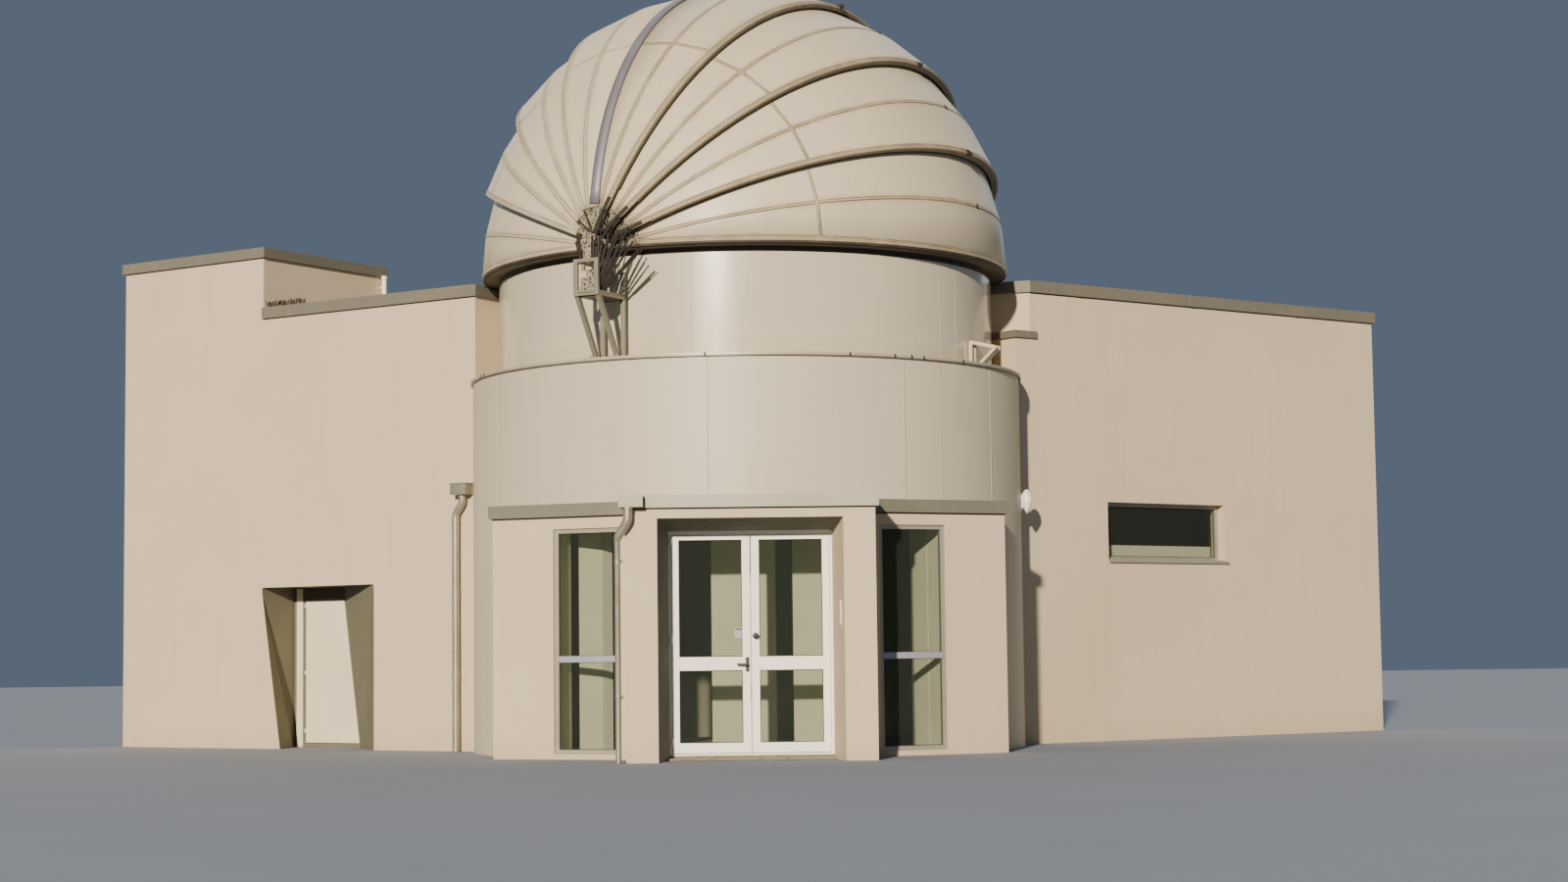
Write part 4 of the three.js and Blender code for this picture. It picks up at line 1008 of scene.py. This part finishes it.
for word, part in (("left", "lever"), ("right", "knob")):
    dressed(f"entrance_{part}_rounded", f"entrance_{part}", black_metal,
            body=f"entrance_{word}_leaf", slot="black_plastic", smooth=35)
for word, left, right in (("left", -0.805, -0.096), ("right", 0.096, 0.805)):
    gaskets = bmesh.new()
    for bottom, top in ((0.19, 0.997), (1.147, 2.458)):
        for near, far in GASKET_LINES:
            pane_frame(gaskets, (left, near, bottom), (right, far, top), 0.009)
    piece(f"entrance_{word}_gaskets", gaskets, rubber, f"entrance_{word}_leaf", "black_plastic")
lock_case = bmesh.new()
block(lock_case, (-0.186, -3.5545, 1.352), (-0.098, -3.522, 1.478), bevel=0.004)
piece("entrance_lock_case", lock_case, white_coat, "entrance_left_leaf", "white_metal")
marks = bmesh.new()
block(marks, (-0.176, -3.5548, 1.448), (-0.108, -3.553, 1.462), bevel=0.001)
block(marks, (-0.05, -3.588, 0.992), (-0.034, -3.583, 1.012), bevel=0.002)
piece("entrance_lock_marks", marks, black_metal, "entrance_left_leaf", "black_plastic")
plate = bmesh.new()
block(plate, (-0.007, -0.035, 1.485), (0.002, 0.035, 1.757), standing(0.994, -4.02, 10), 0.002)
piece("porch_reveal_plate", plate, white_coat, slot="white_metal")

# Lobby wall and floors
# The panels seen through the entrance are plastered and painted a pale green like the inside
# of the drum, over a grey screed. Narrow linings like them stand behind the windows.
FLOOR_LEVEL = 0.0495
screed = Finish("grey_screed", (150, 146, 134), 0.7, gloss=0.3)
screed.clouds(0.6, 5, 0.4, 0.7, 0.6, (132, 127, 114))
screed.grain(0.05, 4, 0.001)
dressed("drum_floor_and_lobby_panels", "drum_floor_and_lobby_wall", [screed, plaster],
        chosen=lambda centre, normal: centre.z > FLOOR_LEVEL + 0.01, slot="concrete", bevel=0.004)
finish_nodes(screed, "left_wing_floor", "right_wing_floor")
linings = bmesh.new()
for low, high, place in (
        ((-1.99, -2.39, FLOOR_LEVEL), (-1.71, -2.29, 2.7), None),
        ((-0.01, -0.05, FLOOR_LEVEL), (0.11, 0.05, 2.7), standing(-1.72, -2.34, 35)),
        ((0.969, 0.45, FLOOR_LEVEL), (1.03, 0.86, 2.7), bay_frame(1)),
        ((1.69, 0.249, 2.27), (3.6, 0.3, 2.535), RIGHT_WING)):
    block(linings, low, high, place, 0.004)
piece("inner_linings", linings, plaster, slot="concrete")

# Bay windows
# Full-height windows of grey aluminium stand in the bays beside the porch, with a bluish
# rail across them below the middle.
BAY_PANE = (0.157, 0.918)
BAY_FRAME_BACK = 0.088
aluminium = Finish("grey_aluminium", (168, 162, 146), 0.38, metal=0.4)
aluminium.clouds(0.4, 4, 0.4, 0.7, 0.5, (148, 142, 126))
aluminium.mottle(0.1, 4, 0.15)
aluminium.grain(0.05, 2, 0.0005)
rail_paint = Finish("bluish_rail_paint", (164, 164, 170), 0.4, metal=0.2)
rail_paint.clouds(0.3, 4, 0.4, 0.7, 0.5, (148, 148, 156))
rail_paint.grain(0.02, 2, 0.0003)
for side, word in ((-1, "left"), (1, "right")):
    place = bay_frame(side)
    back = place.inverted()
    left, right = sorted(edge * side for edge in BAY_PANE)
    dressed(f"{word}_bay_window_dressed", f"{word}_bay_window_frame", aluminium,
            slot="window_aluminium", bevel=0.002)
    rail = bmesh.new()
    block(rail, (left - 0.004, 0.0235, 1.102), (right + 0.004, 0.03, 1.175), place, 0.002)
    piece(f"{word}_bay_rail_cover", rail, rail_paint, slot="window_aluminium")
    gaskets = bmesh.new()
    for bottom, top in ((0.11, 1.105), (1.172, 2.58)):
        pane_frame(gaskets, (left, 0.046, bottom), (right, 0.0525, top), 0.008, place)
    piece(f"{word}_bay_gaskets", gaskets, rubber, slot="black_plastic")

    def behind_frame(centre, normal):
        spot = back @ centre
        soffit = 2.6 < spot.z < 2.64
        opening = spot.y > BAY_FRAME_BACK + 0.001 and 0.1 < spot.x * side < 0.975
        return opening and (abs(normal.z) < 0.95 or soffit)

    wall = cut(merged(f"{word}_bay_wall"), place @ Vector((0, BAY_FRAME_BACK, 0)),
               place.to_3x3() @ Vector((0, 1, 0)))
    dressed(f"{word}_bay_wall_faced", f"{word}_bay_wall", [render, plaster], wall, behind_frame,
            slot="render")

# Slot window
# A long low window in the right wing, with an aluminium sill that runs out past its right
# end and stands a little off the wall. The rooms of both wings are plastered in pale green.
ROOM_FRONT = 0.25
ROOM_BACK = 2.75
ROOM_TOP = 5.79
dressed("slot_window_dressed", "slot_window_frame", aluminium, slot="window_aluminium",
        bevel=0.002)
sill = bmesh.new()
block(sill, (1.505, -0.034, 2.316), (3.665, 0.0, 2.331), RIGHT_WING, 0.002)
block(sill, (1.521, -0.001, 2.3305), (3.619, 0.119, 2.342), RIGHT_WING, 0.002)
block(sill, (1.505, -0.036, 2.298), (3.665, -0.031, 2.33), RIGHT_WING, 0.0015)
piece("slot_window_sill", sill, aluminium, slot="window_aluminium")
gaskets = bmesh.new()
pane_frame(gaskets, (1.57, 0.14, 2.38), (3.57, 0.1465, 3.03), 0.009, RIGHT_WING)
piece("slot_window_gaskets", gaskets, rubber, slot="black_plastic")


def room_faces(place, low, high):
    """Chooses the faces of walls that look into a wing's room, between two ends along it."""
    back = place.inverted()

    def chosen(centre, normal):
        spot = back @ centre
        way = back.to_3x3() @ normal
        inside = within(spot, (low - 0.01, ROOM_FRONT - 0.01, -1),
                        (high + 0.01, ROOM_BACK + 0.01, ROOM_TOP))
        sides = ((spot.y, ROOM_FRONT), (spot.y, ROOM_BACK), (spot.x, low), (spot.x, high))
        return (inside and max(abs(way.x), abs(way.y)) > 0.9
                and any(abs(at - wall) < 0.01 for at, wall in sides))

    return chosen


for node, place, low, high in (("right_wing_front_wall", RIGHT_WING, -9, 6.38),
                               ("right_wing_rear_walls", RIGHT_WING, -9, 6.38),
                               ("left_wing_rear_walls", LEFT_WING, -6.07, 9)):
    dressed(node + "_faced", node, [render, plaster], chosen=room_faces(place, low, high),
            slot="render")

# Side door
# A flush leaf in a glossy cream coat closes the recess, beside a cream jamb strip and under
# a ribbed brown panel, painted darker as painted shade under the lintel. Its latch edge leans
# with the reveal.
LINING_FACE = 0.6205
LINING_TOP = 2.118
cream_leaf = Finish("glossy_cream_leaf", (230, 217, 184), 0.22, gloss=0.6)
cream_leaf.clouds(0.6, 3, 0.4, 0.7, 0.5, (220, 205, 170))
cream_leaf.streaks(0.04, 0.6, 0.6, 0.8, 0.3, (190, 176, 148))
cream_leaf.grain(0.25, 2, 0.001)
dressed("side_door_leaf_coated", "side_door_leaf", cream_leaf, body="side_door",
        slot="white_metal", bevel=0.003)
jamb = bmesh.new()
block(jamb, (-3.64, 0.609, 0.002), (-3.532, LINING_FACE, LINING_TOP), LEFT_WING, 0.002)
piece("side_door_jamb_strip", jamb, cream_leaf, slot="white_metal")
# Partly painted shade: the panel's dark brown stands in part for the shade under the lintel.
brown_and_shade_paint = Finish("brown_panel_and_painted_shade", (92, 76, 56), 0.6)
brown_and_shade_paint.clouds(0.2, 4, 0.4, 0.7, 0.5, (76, 62, 44))
brown_and_shade_paint.grain(0.01, 3, 0.0004)
panel = bmesh.new()
block(panel, (-3.53, 0.611, 1.968), (-2.79, LINING_FACE, LINING_TOP), LEFT_WING, 0.002)
for index in range(5):
    low = 1.978 + 0.028 * index
    block(panel, (-3.52, 0.603, low), (-2.8, 0.612, low + 0.014), LEFT_WING, 0.002)
piece("side_door_top_panel", panel, brown_and_shade_paint, slot="reveal")

# Downpipes
# Zinc pipes bring rain down from a hopper on the left wing and from the outlet box of the
# porch coping. They are held by clips, with raised collars at their joints.
WING_PIPE = (-0.263, -0.075)
WING_OUTLET = (-0.15, -0.075)
WING_COLLARS = (2.86, 1.9, 0.9)
PORCH_PIPE = (-1.462, -4.222)
PORCH_OUTLET = (-1.342, -4.293)
WING_RADIUS = 0.047
OUTLET_RADIUS = 0.05
PORCH_RADIUS = 0.033
PIPE_END = 0.003
PIPE_SIDES = 28
NECK_STEPS = 14
zinc = Finish("weathered_zinc", (160, 154, 138), 0.34, metal=0.55)
zinc.clouds(0.25, 4, 0.4, 0.7, 0.6, (140, 131, 110))
zinc.streaks(0.03, 0.4, 0.58, 0.8, 0.5, (112, 102, 82))
zinc.mottle(0.1, 4, 0.2)
zinc.grain(0.12, 3, 0.0015)


def tube(shape, path, place=None):
    """A pipe along (x, y, z, radius) points that run mostly up and down."""
    rings = []
    for index, (x, y, z, radius) in enumerate(path):
        before, after = path[max(index - 1, 0)], path[min(index + 1, len(path) - 1)]
        along = (Vector(after[:3]) - Vector(before[:3])).normalized()
        across = along.cross(Vector((0, 1, 0))).normalized()
        above = along.cross(across)
        ring = []
        for step in range(PIPE_SIDES):
            turn = 2 * math.pi * step / PIPE_SIDES
            spot = Vector((x, y, z)) + (across * math.cos(turn) + above * math.sin(turn)) * radius
            ring.append(shape.verts.new((place or Matrix()) @ spot))
        rings.append(ring)
    for one, two in zip(rings, rings[1:]):
        for step in range(PIPE_SIDES):
            after = (step + 1) % PIPE_SIDES
            shape.faces.new((one[step], one[after], two[after], two[step]))
    for ring in (rings[0], rings[-1]):
        shape.faces.new(ring)
    bmesh.ops.recalc_face_normals(shape, faces=shape.faces)


def swan_neck(start, end, first, last):
    """Points down an S from one radius to another, between two upright ends."""
    points = []
    for step in range(NECK_STEPS + 1):
        share = step / NECK_STEPS
        swing = 0.5 - 0.5 * math.cos(math.pi * share)
        spot = [a + (b - a) * swing for a, b in zip(start[:2], end[:2])]
        slim = max(0.0, share - 0.75) * 4
        points.append((*spot, start[2] + (end[2] - start[2]) * share, first + (last - first) * slim))
    return points


left_pipe = bmesh.new()
tube(left_pipe, [(*WING_OUTLET, 3.22, WING_RADIUS)]
     + swan_neck((*WING_OUTLET, 3.15), (*WING_PIPE, 2.94), WING_RADIUS, WING_RADIUS)
     + [(*WING_PIPE, PIPE_END, WING_RADIUS)], LEFT_WING)
block(left_pipe, (-0.275, -0.17, 3.215), (-0.03, -0.0005, 3.36), LEFT_WING, 0.003)
dressed("left_downpipe_smooth", "left_downpipe", zinc, left_pipe, slot="zinc_pipe", smooth=40)
porch_pipe = bmesh.new()
tube(porch_pipe, [(*PORCH_OUTLET, 2.79, OUTLET_RADIUS)]
     + swan_neck((*PORCH_OUTLET, 2.69), (*PORCH_PIPE, 2.42), OUTLET_RADIUS, PORCH_RADIUS)
     + [(*PORCH_PIPE, PIPE_END, PORCH_RADIUS)])
for height in (0.7, 2.19):
    block(porch_pipe, (-1.462, -4.208, height), (-1.4003, -4.182, height + 0.036), bevel=0.002)
dressed("porch_downpipe_smooth", "porch_downpipe", zinc, porch_pipe, slot="zinc_pipe", smooth=40)
collars = bmesh.new()
for spot, heights, radius, place in ((WING_PIPE, WING_COLLARS, 0.0515, LEFT_WING),
                                     (PORCH_PIPE, (2.18, 0.72), 0.0365, None)):
    for height in heights:
        for low, high, slimmer in ((0, 0.03, 0), (0.036, 0.042, 0.001)):
            rod(collars, (*spot, height + low), (*spot, height + high), radius - slimmer,
                PIPE_SIDES, place)
for height in WING_COLLARS:
    block(collars, (-0.275, -0.03, height + 0.004), (-0.251, 0.002, height + 0.026), LEFT_WING)
rod(collars, (*WING_OUTLET, 3.19), (*WING_OUTLET, 3.222), 0.053, PIPE_SIDES, LEFT_WING)
block(collars, (-0.282, -0.177, 3.345), (-0.023, 0.001, 3.362), LEFT_WING, 0.002)
rod(collars, (*PORCH_OUTLET, 2.762), (*PORCH_OUTLET, 2.795), 0.056, PIPE_SIDES)
piece("downpipe_collars", collars, zinc, slot="zinc_pipe", smooth=40)

# Tower vent pipe
# A white plastic pipe with a wider cap stands against the back of the tower, and two clips
# hold it to the wall.
VENT = (-3.62, 2.33)
vent = bmesh.new()
rod(vent, (*VENT, 5.805), (*VENT, 6.54), 0.034, 24, LEFT_WING)
rod(vent, (*VENT, 6.53), (*VENT, 6.565), 0.042, 24, LEFT_WING)
for height in (6.0, 6.4):
    block(vent, (-3.682, 2.315, height), (-3.645, 2.345, height + 0.02), LEFT_WING)
piece("tower_vent_pipe", vent, white_coat, slot="white_metal", smooth=40)

# Wall lamp
# An egg-shaped lamp of opal glass with a drawn-out lower end hangs from a small plate on the
# side of the drum.
opal = Finish("lamp_opal", (236, 234, 224), 0.3)
opal.clouds(0.06, 3, 0.45, 0.7, 0.4, (222, 218, 202))
opal.grain(0.05, 2, 0.0003)
LAMP_SIZE = (0.075, 0.07, 0.15)
lamp = bmesh.new()
bmesh.ops.create_uvsphere(lamp, u_segments=28, v_segments=20, radius=1,
                          matrix=Matrix.Diagonal((*LAMP_SIZE, 1)))
for vert in lamp.verts:
    if vert.co.z < 0:
        pinch = 1 - 0.6 * (vert.co.z / -LAMP_SIZE[2]) ** 1.3
        vert.co.x *= pinch
        vert.co.y *= pinch
bmesh.ops.translate(lamp, vec=(0, -0.078, 3.02), verts=lamp.verts)
block(lamp, (-0.035, -0.03, 2.93), (0.035, 0.002, 3.1), bevel=0.008)
block(lamp, (-0.05, -0.012, 2.9), (0.05, 0.003, 3.13), bevel=0.004)
bmesh.ops.transform(lamp, matrix=round_place(81, DRUM_RADIUS), verts=lamp.verts)
piece("wall_lamp", lamp, opal, slot="white_metal", smooth=40)

# Stage
# A matt grey floor in a pale blue surround. The low warm sun stands to the left of the camera,
# and a soft cool light comes from behind the building.
floor_paint = Finish("pale_floor", (146, 152, 162), 0.9, gloss=0.1)
floor_paint.clouds(3, 3, 0.4, 0.7, 0.3, (138, 144, 154))
floor_shape = bmesh.new()
bmesh.ops.create_grid(floor_shape, x_segments=1, y_segments=1, size=90)
floor_mesh = bpy.data.meshes.new("floor")
floor_shape.to_mesh(floor_mesh)
floor_shape.free()
floor_mesh.materials.append(floor_paint.material)
floor = placed("floor", floor_mesh)
floor.location = (0, 0, -0.002)


def sunlight(name, strength, spread, colour, towards):
    data = set_all(bpy.data.lights.new(name, "SUN"),
                   {"energy": strength, "angle": math.radians(spread), "color": colour})
    placed(name, data).rotation_euler = Vector(towards).to_track_quat("Z", "Y").to_euler()


SUN_AZIMUTH = math.radians(-14.5)
SUN_HEIGHT = math.radians(16)
sunlight("low_sun", 6.6, 1.5, (1.0, 0.89, 0.74),
         (math.sin(SUN_AZIMUTH) * math.cos(SUN_HEIGHT),
          -math.cos(SUN_AZIMUTH) * math.cos(SUN_HEIGHT), math.sin(SUN_HEIGHT)))
sunlight("rear_fill", 1.0, 70, (0.86, 0.92, 1.0), (0.05, 0.9, 0.42))

world = bpy.data.worlds.new("pale_surround")
world.use_nodes = True
background = world.node_tree.nodes["Background"]
background.inputs["Color"].default_value = (0.52, 0.68, 0.94, 1)
background.inputs["Strength"].default_value = 0.2
bpy.context.scene.world = world

CAMERA_PLACE = (-0.208, -33.3, 1.19)
YAW = 0.02034
PITCH = 0.07967
ROLL = -0.0122
camera_data = bpy.data.cameras.new("camera")
camera_data.lens = 60.75
camera_data.sensor_width = 36
camera = placed("camera", camera_data)
ahead = Vector((math.sin(YAW) * math.cos(PITCH), math.cos(YAW) * math.cos(PITCH), math.sin(PITCH)))
across = Vector((math.cos(YAW), -math.sin(YAW), 0))
above = across.cross(ahead)
right_hand = across * math.cos(ROLL) + above * math.sin(ROLL)
upright = above * math.cos(ROLL) - across * math.sin(ROLL)
axes = Matrix((right_hand, upright, -ahead)).transposed().to_4x4()
camera.matrix_world = Matrix.Translation(CAMERA_PLACE) @ axes
bpy.context.scene.camera = camera
